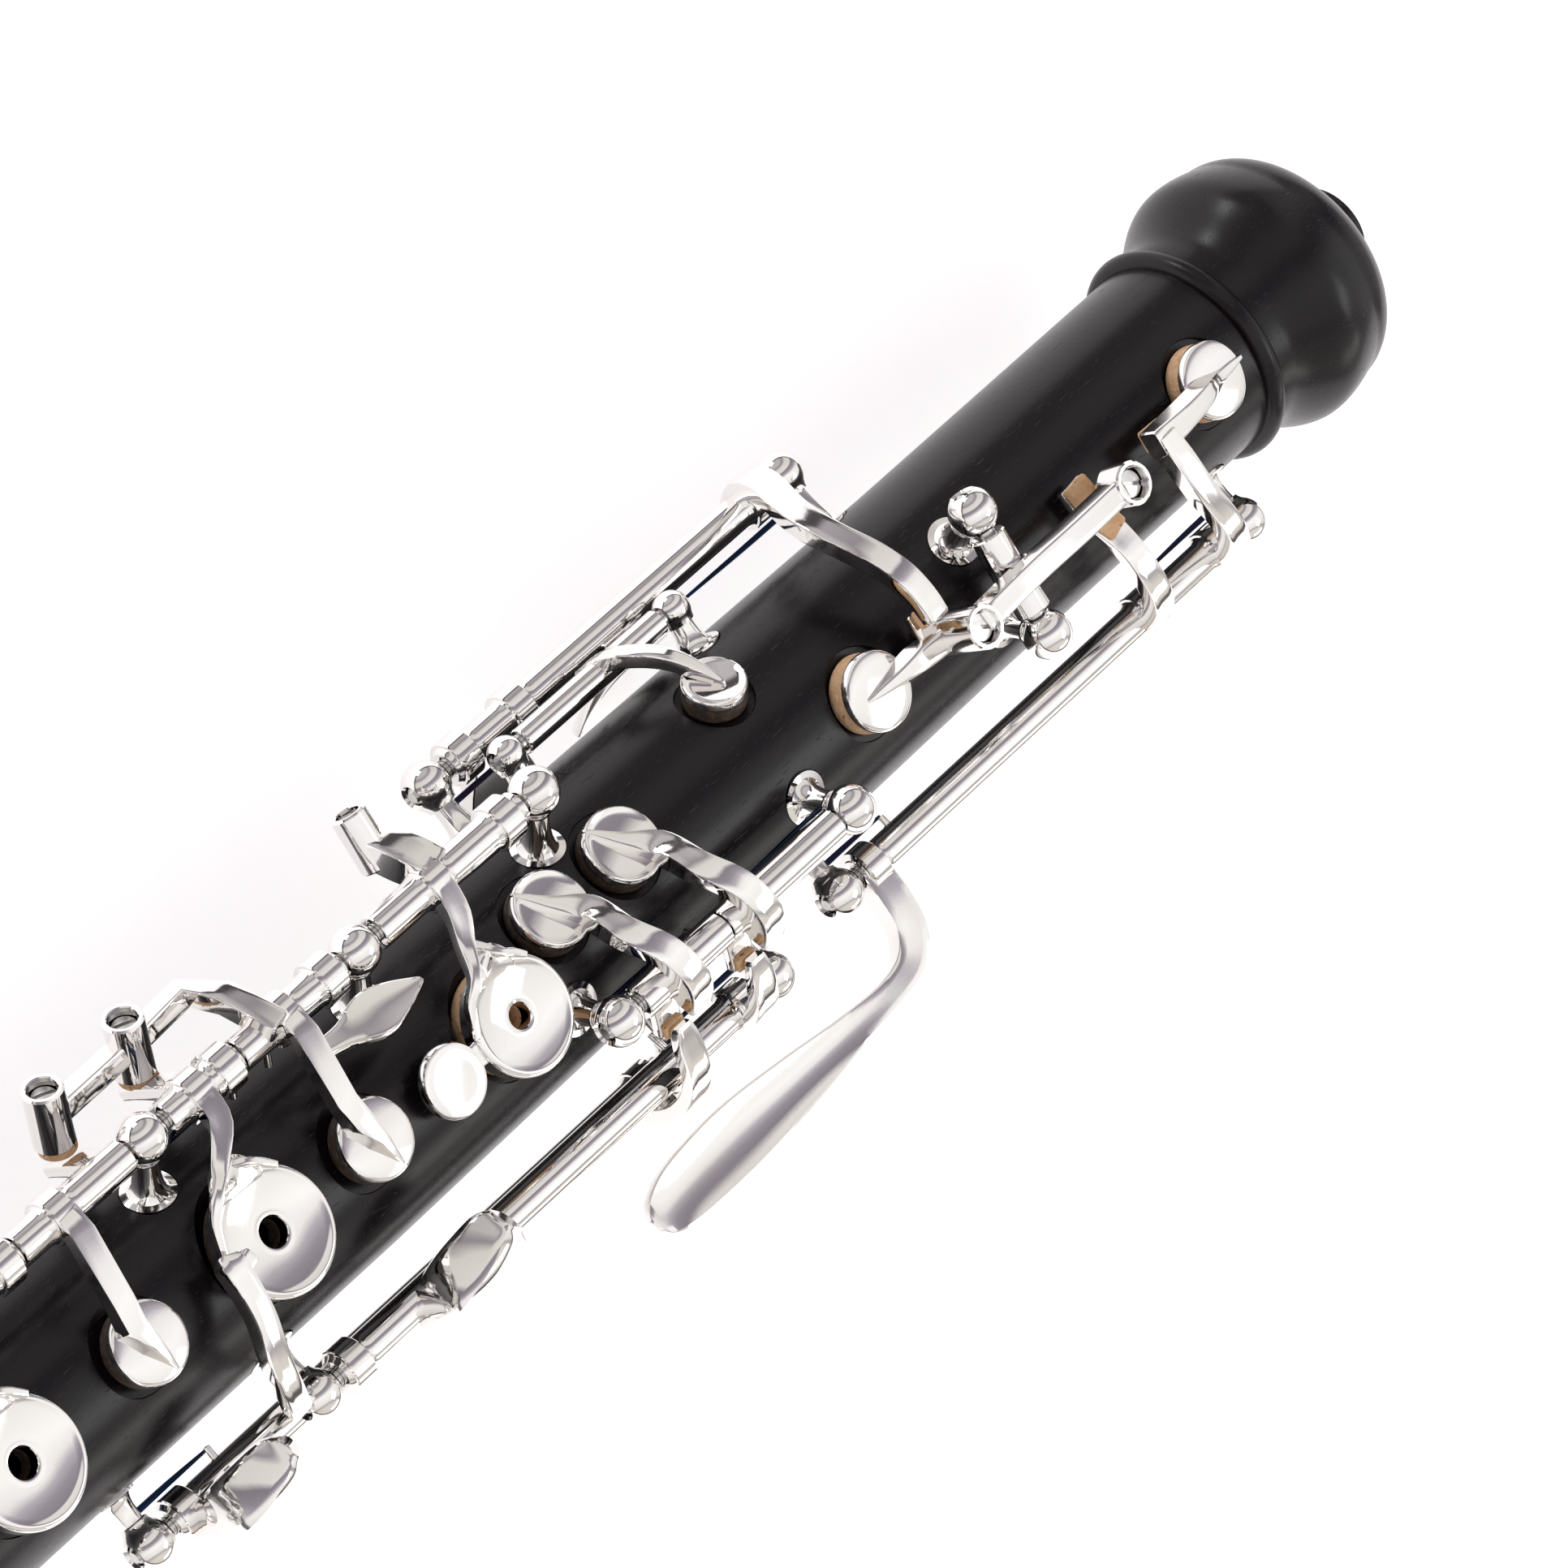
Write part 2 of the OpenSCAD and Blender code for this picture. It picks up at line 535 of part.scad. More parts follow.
module trill_key(seat, a0, a1, hub) {
    top = pad_top(seat, 1.6);
    color([0.9, 0.89, 0.87]) difference() {
        union() {
            tube(trill_line, a0, a1, [hub]);
            arm([[seat[0] + 2.4, 28, top + 0.9, 0.6, 0.6, 26], [seat[0], 23, top + 1.3, 1.2, 1.2, 23],
                [seat[0] - 2.4, 15, 14.6, 2, 1.7, 16], [hub + 0.6, 3, 16.4, 2.5, 2, 4],
                [hub, -9, 17.8, 2.6, 2.1, -12], [hub, -21, 18.2, 2.6, 2.1, -28],
                [hub, -30, 17.2, 2.6, 2, -80]]);
            arm([[hub + 1.6, -26, 15.2, 3, 1.2, -30], [hub + 1.6, -40, 15.8, 3, 1.2, -40]]);
            cup(seat, top);
        }
        tube_bore(trill_line, a0, a1);
    }
}

module upper_trill_key() { trill_key(upper_trill_seat, 95.5, 111.3, 107.8); }

module lower_trill_key() { trill_key(lower_trill_seat, 111.5, 123, 117.9); }

module upper_trill_pad() { color([0.1, 0.09, 0.09]) pad(upper_trill_seat, 1.58); }

module lower_trill_pad() { color([0.1, 0.09, 0.09]) pad(lower_trill_seat, 1.58); }

module upper_trill_lever() {
    color([0.9, 0.89, 0.87]) difference() {
        union() {
            tube(lever_a_line, 107.6, 164.4, [109, 163.2]);
            arm([[109.4, -66, 18, 2.8, 1.6, -62], [109.4, -54, 18.6, 2.8, 1.6, -54],
                [109.4, -43, 18, 2.8, 1.4, -40]]);
            arm([[152, -66, 17.8, 3, 1.6, -62], [151, -56, 18.6, 4, 1.6, -54],
                [148.6, -47, 19.4, 6, 1.6, -46], [146.4, -41, 19.6, 2, 1.2, -42]]);
        }
        tube_bore(lever_a_line, 107.6, 164.4);
    }
}

module lower_trill_lever() {
    color([0.9, 0.89, 0.87]) difference() {
        union() {
            tube(lever_b_line, 117.2, 183.4, [119.6, 182.2]);
            arm([[119.6, -84, 17.6, 2.8, 1.6, -80], [119.6, -70, 19.4, 2.8, 1.4, -66],
                [119.6, -55, 19.5, 2.8, 1.4, -52], [119.6, -43, 17.9, 2.8, 1.3, -38]]);
            arm([[179, -84, 17.4, 3, 1.6, -78], [178, -68, 18.8, 4, 1.6, -66],
                [175.4, -55, 19.6, 6, 1.6, -53], [173, -47, 19.8, 2, 1.2, -48]]);
        }
        tube_bore(lever_b_line, 117.2, 183.4);
    }
}

// ---- Left-hand finger keys ----

// Arm from the main hinge to a finger plate, widening into a gusset
module plate_arm(seat, root, rise, line = main_line) {
    far = line[1];
    arm([[root, line[0] + 7, far + 0.9, 3, 2.2, line[0]], [root, line[0] - 7, far + 1, 3, 2.1, line[0] - 8],
        [(root + seat[0]) / 2, 29, rise + 3, 2.8, 1.9, 30], [seat[0], 19, rise + 1, 3.4, 1.6, 19],
        [seat[0], 10, rise - 0.1, 5, 1.2, 8]]);
}

// Arm from a hinge to a cup, ending in a ridge across it
module cup_arm(seat, root, rise, line = main_line) {
    far = line[1];
    arm([[root, line[0] + 6, far + 0.8, 2.8, 2, line[0]], [root, line[0] - 8, far + 0.7, 2.7, 2, line[0] - 8],
        [(root + seat[0]) / 2, 27, rise + 2.6, 2.4, 1.8, 28], [seat[0], 15, rise + 0.9, 1.9, 1.5, 15],
        [seat[0], seat[1] + 3, rise + 0.3, 1.1, 1.1, 4], [seat[0], seat[1] - 13, rise - 0.3, 0.6, 0.6, -4]]);
}

module half_hole_key() {
    top = pad_top(half_seat, 2.2);
    color([0.9, 0.89, 0.87]) difference() {
        union() {
            tube(main_line, 120.3, 139.4, [122.6, 132]);
            plate_arm(half_seat, 132, top + 2);
            plate(half_seat, top, 1.15, 2.2);
            arm([[136.6, 0.4, top + 1.3, 3, 1.2, 0], [139, 0, top + 1.2, 2.2, 1.1, 0],
                [141, -1, top + 1.2, 3, 1.1, 0]]);
            arm([[130.6, 55, 19.2, 3, 2.4, 62], [131.8, 62, 20, 3.4, 2.4, 68], [132.8, 69, 20.6, 3, 2.4, 74]]);
            barrel(133, 66, 18.6, 24.2, 88, 1.7);
            place(141.8, -1, top + 0.6) cylinder(r = 3.4, h = 1.2);
        }
        tube_bore(main_line, 120.3, 139.4);
    }
}

module half_hole_pad() { color([0.74, 0.56, 0.38]) pad(half_seat, 2.18, 1.15); }

module c_key() {
    top = pad_top(c_seat, 1.4);
    color([0.9, 0.89, 0.87]) swing(main_line, -open_deg) difference() {
        union() {
            tube(main_line, 144.4, 157.6, [152]);
            cup_arm(c_seat, 152, top + 1.2);
            cup(c_seat, top);
            arm([[151.6, 36, 16.4, 1.8, 1.3, 36], [149.2, 34.4, 16.7, 2.4, 1.2, 34],
                [146, 33, 16.9, 4.6, 1.2, 33], [143.4, 32.2, 17, 3.6, 1.1, 32], [140.4, 31, 17.2, 1, 0.8, 31]]);
            arm([[153.6, 48, 19.4, 2.6, 2, 52], [154.6, 60, 20.9, 2.4, 2, 60],
                [155.8, 71, 21.3, 2.4, 2, 66], [162.6, 71.5, 20.8, 2.3, 1.9, 64],
                [172.8, 71.5, 20.6, 2.3, 1.9, 64]]);
            for (a = [162.6, 172.8]) barrel(a, 75, 17.8, 24, 54, 1.9);
        }
        tube_bore(main_line, 144.4, 157.6);
    }
}

module c_pad() { color([0.1, 0.09, 0.09]) swing(main_line, -open_deg) pad(c_seat, 1.38); }

module a_key() {
    top = pad_top(a_seat, 1.6);
    color([0.9, 0.89, 0.87]) swing(main_line, -open_deg) difference() {
        union() {
            tube(main_line, 157.8, 166.9, [165.3]);
            plate_arm(a_seat, 165.3, top + 2);
            plate(a_seat, top, 1.4);
            arm([[162.6, 55, 17.6, 3, 1.5, 60], [162.6, 67, 16.6, 3, 1.2, 56], [162.6, 78, 16.1, 3.2, 1.1, 54]]);
            arm([[169.2, 10, 14, 1.4, 1.6, 8], [170.8, 5, 14, 2.2, 1.9, 4], [171.2, -4, 14.1, 2.3, 1.9, -4],
                [171.5, -14, 14.3, 2.3, 1.9, -14], [172.2, -32, 14.9, 2.3, 1.9, -32],
                [171.5, -48, 15.4, 2.3, 1.9, -48], [170.8, -57, 15.6, 2.3, 2, -56]]);
        }
        tube_bore(main_line, 157.8, 166.9);
    }
}

module a_pad() { color([0.1, 0.09, 0.09]) swing(main_line, -open_deg) pad(a_seat, 1.58, 1.4); }

module b_flat_key() {
    top = pad_top(b_flat_seat, 1.4);
    color([0.9, 0.89, 0.87]) swing(main_line, -open_deg) difference() {
        union() {
            tube(main_line, 171.9, 185.6, [180.6]);
            cup_arm(b_flat_seat, 180.6, top + 1.2);
            cup(b_flat_seat, top);
            arm([[173.4, 55, 17.4, 3, 1.5, 60], [173, 67, 16.1, 3, 1.2, 56], [172.8, 78, 15.3, 3.2, 1.1, 54]]);
        }
        tube_bore(main_line, 171.9, 185.6);
    }
}

module b_flat_pad() { color([0.1, 0.09, 0.09]) swing(main_line, -open_deg) pad(b_flat_seat, 1.38); }

module g_key() {
    top = pad_top(g_seat, 1.6);
    color([0.9, 0.89, 0.87]) swing(main_line, -open_deg) difference() {
        union() {
            tube(main_line, 185.8, 205.4, [197.2]);
            plate_arm(g_seat, 197.2, top + 2);
            plate(g_seat, top, 1.4);
        }
        tube_bore(main_line, 185.8, 205.4);
    }
}

module g_pad() { color([0.1, 0.09, 0.09]) swing(main_line, -open_deg) pad(g_seat, 1.58, 1.4); }

module g_sharp_key() {
    top = pad_top(g_sharp_seat, 1.6);
    color([0.9, 0.89, 0.87]) difference() {
        union() {
            tube(g_sharp_line, 207.6, 225.4, [214, 222]);
            arm([[214, -52, 18, 2.6, 2, -48], [214, -36, 18.2, 2.6, 2, -38],
                [214, -22, 16.4, 2.4, 1.7, -24], [214, -10, 14.2, 1.8, 1.4, -10],
                [214, 10, top + 0.8, 0.6, 0.6, 8]]);
            arm([[222, -40, 18.2, 4, 1.8, -40], [222.4, -58, 18.8, 5, 1.7, -58],
                [224, -74, 18.8, 8, 1.6, -74], [226, -92, 18.2, 5, 1.4, -92]]);
            cup(g_sharp_seat, top);
        }
        tube_bore(g_sharp_line, 207.6, 225.4);
    }
}

module g_sharp_pad() { color([0.1, 0.09, 0.09]) pad(g_sharp_seat, 1.58); }

// ---- Right-hand finger keys ----

module f_sharp_key() {
    top = pad_top(f_sharp_seat, 1.6);
    vent_top = pad_top(vent_seat, 1.6);
    color([0.9, 0.89, 0.87]) swing(right_line, -open_deg) difference() {
        union() {
            tube(right_line, 264.6, 293.4, [272, 287]);
            plate_arm(f_sharp_seat, 272, top + 2, right_line);
            plate(f_sharp_seat, top, 1.4);
            cup_arm(vent_seat, 287, vent_top + 1.2, right_line);
            cup(vent_seat, vent_top);
        }
        tube_bore(right_line, 264.6, 293.4);
    }
}

module f_sharp_pads() {
    color([0.1, 0.09, 0.09]) swing(right_line, -open_deg) {
        pad(f_sharp_seat, 1.58, 1.4);
        pad(vent_seat, 1.58);
    }
}

module right_plate_key(seat, a0, a1, hole) {
    top = pad_top(seat, 1.6);
    color([0.9, 0.89, 0.87]) swing(right_line, -open_deg) difference() {
        union() {
            tube(right_line, a0, a1, [seat[0], a1 - 2.5]);
            plate_arm(seat, seat[0], top + 2, right_line);
            plate(seat, top, hole);
        }
        tube_bore(right_line, a0, a1);
    }
}

module e_key() { right_plate_key(e_seat, 298.6, 320, 0); }

module d_key() { right_plate_key(d_seat, 320.3, 347.4, 1.4); }

module e_pad() { color([0.1, 0.09, 0.09]) swing(right_line, -open_deg) pad(e_seat, 1.58); }

module d_pad() { color([0.1, 0.09, 0.09]) swing(right_line, -open_deg) pad(d_seat, 1.58, 1.4); }

module f_key() {
    top = pad_top(f_seat, 1.6);
    color([0.9, 0.89, 0.87]) difference() {
        union() {
            tube(f_line, 314.6, 347.4, [321, 338]);
            arm([[321, -56, 19.2, 4, 2, -52], [321, -42, 19.6, 4.4, 1.8, -42],
                [321, -30, 19.4, 7, 1.6, -30], [321, -20, 18.8, 4, 1.3, -20]]);
            arm([[338, -46, 19.2, 2.6, 1.8, -50], [338, -58, 18, 2.4, 1.6, -66],
                [338, -66, 15.8, 1.9, 1.4, -74], [338, -79, top + 0.8, 0.6, 0.6, -78]]);
            cup(f_seat, top);
        }
        tube_bore(f_line, 314.6, 347.4);
    }
}

module f_pad() { color([0.1, 0.09, 0.09]) pad(f_seat, 1.58); }

module e_flat_key() {
    top = pad_top(e_flat_seat, 1.6);
    color([0.9, 0.89, 0.87]) difference() {
        union() {
            tube(e_flat_line, 358.6, 379.4, [362, 370]);
            arm([[362, 12, 19.4, 4, 2, 16], [362, 28, 20, 4, 1.8, 28], [362, 44, 20.2, 8, 1.6, 44],
                [361, 58, 20, 8, 1.5, 58], [360, 68, 19.6, 4, 1.3, 68]]);
            arm([[370, 24, 19.4, 2.6, 1.8, 20], [370, 6, 18.6, 2.5, 1.7, 2],
                [370, -6, 16, 2, 1.5, -10], [370, -26, top + 0.8, 0.6, 0.6, -24]]);
            cup(e_flat_seat, top);
        }
        tube_bore(e_flat_line, 358.6, 379.4);
    }
}

module e_flat_pad() { color([0.1, 0.09, 0.09]) pad(e_flat_seat, 1.58); }

// ---- Low keys ----

// Wide cup with its arm from a side hinge line
module low_cup(seat, line, root, top) {
    way = sign(line[0] - seat[1]);
    arm([[root, line[0] + way * 5, line[1] + 0.6, 3, 2.1, line[0]],
        [root, line[0] - way * 14, line[1] + 1, 2.9, 2, line[0] - way * 14],
        [(root + seat[0]) / 2, seat[1] + way * 38, 17.8, 2.7, 1.9, seat[1] + way * 38],
        [seat[0], seat[1] + way * 22, 15.6, 2.4, 1.7, seat[1] + way * 24],
        [seat[0], seat[1] + way * 6, top + 1.5, 1.4, 1.4, seat[1] + way * 8],
        [seat[0], seat[1] - way * 18, top + 0.9, 0.7, 0.6, seat[1] - way * 12]]);
    cup(seat, top, 1.5);
}

module c_sharp_key() {
    color([0.9, 0.89, 0.87]) swing(low_c_line, -open_deg) difference() {
        union() {
            tube(low_c_line, 386.6, 409.4, [389, 400]);
            low_cup(c_sharp_seat, low_c_line, 400, pad_top(c_sharp_seat, 2));
            arm([[389, 94, 19.2, 3, 2, 90], [387, 80, 19.8, 3, 1.9, 80], [381, 66, 20.4, 3.4, 1.8, 66],
                [375, 54, 20.6, 6.5, 1.6, 54], [370, 47, 20.4, 4, 1.4, 47]]);
        }
        tube_bore(low_c_line, 386.6, 409.4);
    }
}

module c_sharp_pad() { color([0.1, 0.09, 0.09]) swing(low_c_line, -open_deg) pad(c_sharp_seat, 1.98); }

module low_c_key() {
    color([0.9, 0.89, 0.87]) swing(low_c_line, -open_deg) difference() {
        union() {
            tube(low_c_line, 414.6, 441, [418, 430]);
            low_cup(low_c_seat, low_c_line, 430, pad_top(low_c_seat, 2));
            arm([[418, 84, 19.4, 3, 2, 88], [417, 97, 19.8, 2.8, 2, 96], [412, 105, 20.2, 2.4, 2, 104],
                [400, 106, 20.4, 2.4, 2, 105], [387, 104, 20.6, 2.4, 2, 103],
                [379, 96, 20.9, 3.4, 1.8, 96], [374, 86, 20.9, 6.5, 1.6, 86], [369, 79, 20.7, 4, 1.4, 79]]);
        }
        tube_bore(low_c_line, 414.6, 441);
    }
}

module low_c_pad() { color([0.1, 0.09, 0.09]) swing(low_c_line, -open_deg) pad(low_c_seat, 1.98); }

module low_b_key() {
    color([0.9, 0.89, 0.87]) swing(low_b_line, open_deg) difference() {
        union() {
            tube(low_b_line, 272.6, 475, [276, 462]);
            low_cup(low_b_seat, low_b_line, 462, pad_top(low_b_seat, 2));
            arm([[275.4, -99, 19, 3, 2, -92], [274.6, -88, 20.4, 2.8, 2, -88], [271, -76, 20.8, 2.8, 1.9, -78],
                [264, -75, 20.6, 3.6, 1.8, -77], [257, -77, 20.3, 7.5, 1.6, -79], [250, -76, 20, 5, 1.4, -77]]);
        }
        tube_bore(low_b_line, 272.6, 475);
    }
}

module low_b_pad() { color([0.1, 0.09, 0.09]) swing(low_b_line, open_deg) pad(low_b_seat, 1.98); }

module low_b_flat_lever() {
    color([0.9, 0.89, 0.87]) swing(bell_line, open_deg) difference() {
        union() {
            tube(bell_line, 275.6, 476, [279, 474]);
            arm([[280, -121, 19, 3, 2, -116], [280, -106, 21, 3, 2, -106], [279, -91, 23.2, 3.2, 1.8, -90],
                [276, -76, 23.7, 4, 1.7, -74], [271, -62, 22.3, 7, 1.6, -60], [266, -53, 21, 4, 1.3, -52]]);
            arm([[474, -120, 19, 3, 2, -116], [475.5, -106, 20, 3, 1.9, -106],
                [482, -100, 21.4, 3, 1.9, -100], [492, -99, 21.8, 3.2, 1.8, -99],
                [502, -100, 21.4, 3.4, 1.6, -100]]);
        }
        tube_bore(bell_line, 275.6, 476);
    }
}

module low_b_flat_key() {
    top = pad_top(bell_seat, 2);
    color([0.9, 0.89, 0.87]) swing(bell_line, open_deg) difference() {
        union() {
            tube(bell_line, 508.6, 531.4, [510, 520]);
            low_cup(bell_seat, bell_line, 520, top);
            arm([[510, -121, 18.8, 3, 2, -116], [509, -108, 19.6, 3, 1.7, -106],
                [505, -101, 19.4, 3.2, 1.5, -100], [499, -100, 19.1, 3.4, 1.3, -100]]);
        }
        tube_bore(bell_line, 508.6, 531.4);
    }
}

module low_b_flat_pad() { color([0.1, 0.09, 0.09]) swing(bell_line, open_deg) pad(bell_seat, 1.98); }

upper_joint();
lower_joint();
bell();
upper_tenon_cork();
lower_tenon_cork();
socket_ring();
bell_ring();
octave_vents();
upper_posts();
lower_posts();
upper_rods();
lower_rods();
needle_springs();
thumb_rest();
thumb_rest_screws();
side_octave_key();
side_octave_pad();
octave_rocker();
octave_rocker_pad();
thumb_octave_key();
third_octave_key();
third_octave_pad();
upper_trill_key();
upper_trill_pad();
lower_trill_key();
lower_trill_pad();
upper_trill_lever();
lower_trill_lever();
half_hole_key();
half_hole_pad();
c_key();
c_pad();
a_key();
a_pad();
b_flat_key();
b_flat_pad();
g_key();
g_pad();
g_sharp_key();
g_sharp_pad();
f_sharp_key();
f_sharp_pads();
e_key();
e_pad();
d_key();
d_pad();
f_key();
f_pad();
e_flat_key();
e_flat_pad();
c_sharp_key();
c_sharp_pad();
low_c_key();
low_c_pad();
low_b_key();
low_b_pad();
low_b_flat_lever();
low_b_flat_key();
low_b_flat_pad();
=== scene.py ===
import json
from math import asin, atan2, cos, degrees, hypot, pi, radians, sin, sqrt

import bmesh
import bpy
from mathutils import Matrix, Vector


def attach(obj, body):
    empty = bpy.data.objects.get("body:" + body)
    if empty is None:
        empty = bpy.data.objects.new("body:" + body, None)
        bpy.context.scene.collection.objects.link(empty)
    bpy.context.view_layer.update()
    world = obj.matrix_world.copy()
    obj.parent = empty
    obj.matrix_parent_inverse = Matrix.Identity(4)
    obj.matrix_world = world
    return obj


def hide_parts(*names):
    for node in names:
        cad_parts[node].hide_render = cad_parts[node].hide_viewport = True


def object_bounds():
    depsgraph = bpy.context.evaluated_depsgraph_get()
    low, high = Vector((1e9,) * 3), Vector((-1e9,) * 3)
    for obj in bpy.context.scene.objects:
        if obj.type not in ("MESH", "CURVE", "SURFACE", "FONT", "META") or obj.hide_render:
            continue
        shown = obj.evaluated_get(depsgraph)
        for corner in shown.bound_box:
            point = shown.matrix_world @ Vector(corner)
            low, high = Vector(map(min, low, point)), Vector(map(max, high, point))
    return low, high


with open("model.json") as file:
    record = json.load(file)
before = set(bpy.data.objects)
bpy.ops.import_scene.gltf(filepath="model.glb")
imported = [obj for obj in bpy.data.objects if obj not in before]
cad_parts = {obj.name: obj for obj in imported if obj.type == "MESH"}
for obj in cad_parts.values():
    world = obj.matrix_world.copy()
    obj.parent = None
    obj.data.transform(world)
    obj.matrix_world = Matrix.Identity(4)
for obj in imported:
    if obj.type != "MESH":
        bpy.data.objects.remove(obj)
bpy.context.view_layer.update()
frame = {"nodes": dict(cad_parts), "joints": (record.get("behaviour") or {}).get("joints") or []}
print("frame loaded:", len(frame["nodes"]), "nodes")

mm = 0.001  # shapes are built in millimetres and scaled once, when a piece is made

# shaping helpers: a place is its distance from the top, its angle round from the front and its radius


def spot(a, angle, r):
    return Vector((-a, r * sin(radians(angle)), r * cos(radians(angle))))


def seatMatrix(a, angle, height=0):  # local Z points straight out of the bore
    turn = Matrix.Rotation(radians(-angle), 4, "X")
    return Matrix.Translation((-a, 0, 0)) @ turn @ Matrix.Translation((0, 0, height))


def lineMatrix(line):  # local Z runs down the instrument along a hinge line
    return Matrix.Translation(spot(0, *line)) @ Matrix.Rotation(-pi / 2, 4, "Y")


def swingMatrix(line, angle):
    centre = spot(0, *line)
    return Matrix.Translation(centre) @ Matrix.Rotation(radians(angle), 4, "X") @ Matrix.Translation(-centre)


def solid(points, faces):
    mesh = bpy.data.meshes.new("solid")
    mesh.from_pydata(points, [], faces)
    made = bmesh.new()
    made.from_mesh(mesh)
    bmesh.ops.recalc_face_normals(made, faces=made.faces)
    made.to_mesh(mesh)
    made.free()
    thing = bpy.data.objects.new("solid", mesh)
    bpy.context.scene.collection.objects.link(thing)
    return thing


def turned(profile, matrix, steps=48):  # profile of (radius, height); radius 0 closes it on the axis
    points, rings, faces = [], [], []
    for r, height in profile:
        count = 1 if r < 1e-6 else steps
        rings.append([len(points) + k for k in range(count)])
        for k in range(count):
            turn = 2 * pi * k / steps
            points.append(matrix @ Vector((r * cos(turn), r * sin(turn), height)))
    pairs = list(zip(rings, rings[1:]))
    if len(rings[0]) > 1 and len(rings[-1]) > 1:
        pairs.append((rings[-1], rings[0]))
    for low, high in pairs:
        for k in range(steps):
            n = (k + 1) % steps
            if len(low) == 1:
                faces.append((low[0], high[k], high[n]))
            elif len(high) == 1:
                faces.append((low[k], high[0], low[n]))
            else:
                faces.append((low[k], low[n], high[n], high[k]))
    return solid(points, faces)


def blendCurve(p, t):  # Catmull-Rom between the two middle rows
    return [0.5 * (2 * b + (c - a) * t + (2 * a - 5 * b + 4 * c - d) * t * t
                   + (3 * b - a - 3 * c + d) * t ** 3)
            for a, b, c, d in zip(*p)]


def smoothed(rows, steps):
    last = len(rows) - 1
    made = []
    for i in range(last):
        around = [rows[max(i - 1, 0)], rows[i], rows[i + 1], rows[min(i + 2, last)]]
        made += [blendCurve(around, j / steps) for j in range(steps)]
    return made + [list(rows[last])]


def barSection(width, thick, ridge, dish, corner):
    # outline of a bar: ridge 1 brings the top to a knife edge, dish sinks the middle of the top
    w, h = width / 2, thick / 2
    c = min(corner, 0.42 * w, 0.42 * h)
    topW = c + (w - 2 * c) * (1 - ridge)
    made = []
    for cx, cy, start in ((w - c, c - h, -90), (topW, h - c, 0)):
        made += [(cx + c * cos(radians(start + k * 45)),
                  cy + c * sin(radians(start + k * 45))) for k in range(3)]
    made += [(topW * 0.55, h - dish * 0.7), (0, h - dish), (-topW * 0.55, h - dish * 0.7)]
    for cx, cy, start in ((-topW, h - c, 90), (c - w, c - h, 180)):
        made += [(cx + c * cos(radians(start + k * 45)),
                  cy + c * sin(radians(start + k * 45))) for k in range(3)]
    return made


def skinned(rings):  # joins rings of equal length, with a flat face at each end
    n, last = len(rings[0]), len(rings) - 1
    faces = [(i * n + j, i * n + (j + 1) % n, (i + 1) * n + (j + 1) % n, (i + 1) * n + j)
             for i in range(last) for j in range(n)]
    faces += [tuple(range(n)), tuple(range((last + 1) * n - 1, last * n - 1, -1))]
    return solid([p for ring in rings for p in ring], faces)


def bar(stations, steps=6, corner=0.28):
    # stations: [distance, angle, radius, width, thickness, angle the top faces, ridge, dish]
    rows = smoothed([list(s) + [0] * (8 - len(s)) for s in stations], steps)
    path = [spot(*row[:3]) for row in rows]
    last = len(rows) - 1
    rings = []
    for i, row in enumerate(rows):
        tangent = (path[min(i + 1, last)] - path[max(i - 1, 0)]).normalized()
        facing = Vector((0, sin(radians(row[5])), cos(radians(row[5]))))
        up = (facing - tangent * facing.dot(tangent)).normalized()
        side = tangent.cross(up)
        outline = barSection(row[3], row[4], min(max(row[6], 0), 1), max(row[7], 0), corner)
        ring = [path[i] + side * x + up * y for x, y in outline]
        if i in (0, last):  # a small chamfer finishes each end
            inset = min(0.22, 0.3 * row[4])
            out = tangent * (inset if i else -inset)
            shrink = 1 - 1.4 * inset / max(row[3], row[4])
            small = [path[i] + out + (p - path[i]) * shrink for p in ring]
            rings += [small, ring] if i == 0 else [ring, small]
        else:
            rings.append(ring)
    return skinned(rings)


def box(matrix, size):  # cutter for slots and recesses
    x, y, z = (s / 2 for s in size)
    points = [matrix @ Vector((i, j, k)) for i in (-x, x) for j in (-y, y) for k in (-z, z)]
    return solid(points, [(0, 1, 3, 2), (4, 6, 7, 5), (0, 4, 5, 1), (2, 3, 7, 6), (0, 2, 6, 4), (1, 5, 7, 3)])


def fuse(name, solids, cuts=(), matrix=None, sharp=30):
    base = solids[0]
    for kind, group in (("UNION", solids[1:]), ("DIFFERENCE", cuts)):
        for other in group:
            step = base.modifiers.new(kind, "BOOLEAN")
            step.operation, step.solver, step.object = kind, "MANIFOLD", other
    mesh = bpy.data.meshes.new_from_object(base.evaluated_get(bpy.context.evaluated_depsgraph_get()))
    for used in [*solids, *cuts]:
        spent = used.data
        bpy.data.objects.remove(used)
        bpy.data.meshes.remove(spent)
    tidy = bmesh.new()
    tidy.from_mesh(mesh)
    bmesh.ops.dissolve_degenerate(tidy, dist=0.0005, edges=tidy.edges)
    tidy.to_mesh(mesh)
    tidy.free()
    if matrix is not None:
        mesh.transform(matrix)
    mesh.transform(Matrix.Scale(mm, 4))
    mesh.shade_smooth()
    mesh.set_sharp_from_angle(angle=radians(sharp))
    piece = bpy.data.objects.new(name, mesh)
    bpy.context.scene.collection.objects.link(piece)
    weighted = piece.modifiers.new("normals", "WEIGHTED_NORMAL")
    weighted.keep_sharp = True
    return piece


def nodeName(piece):  # sideOctaveKey rides on side_octave_key
    return "".join("_" + c.lower() if c.isupper() else c for c in piece)


def place(piece, body, finish, slot, nodes=()):
    piece.data.materials.clear()
    piece.data.materials.append(finish)
    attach(piece, body)
    if nodes:
        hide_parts(*nodes)
    return piece


# finishes


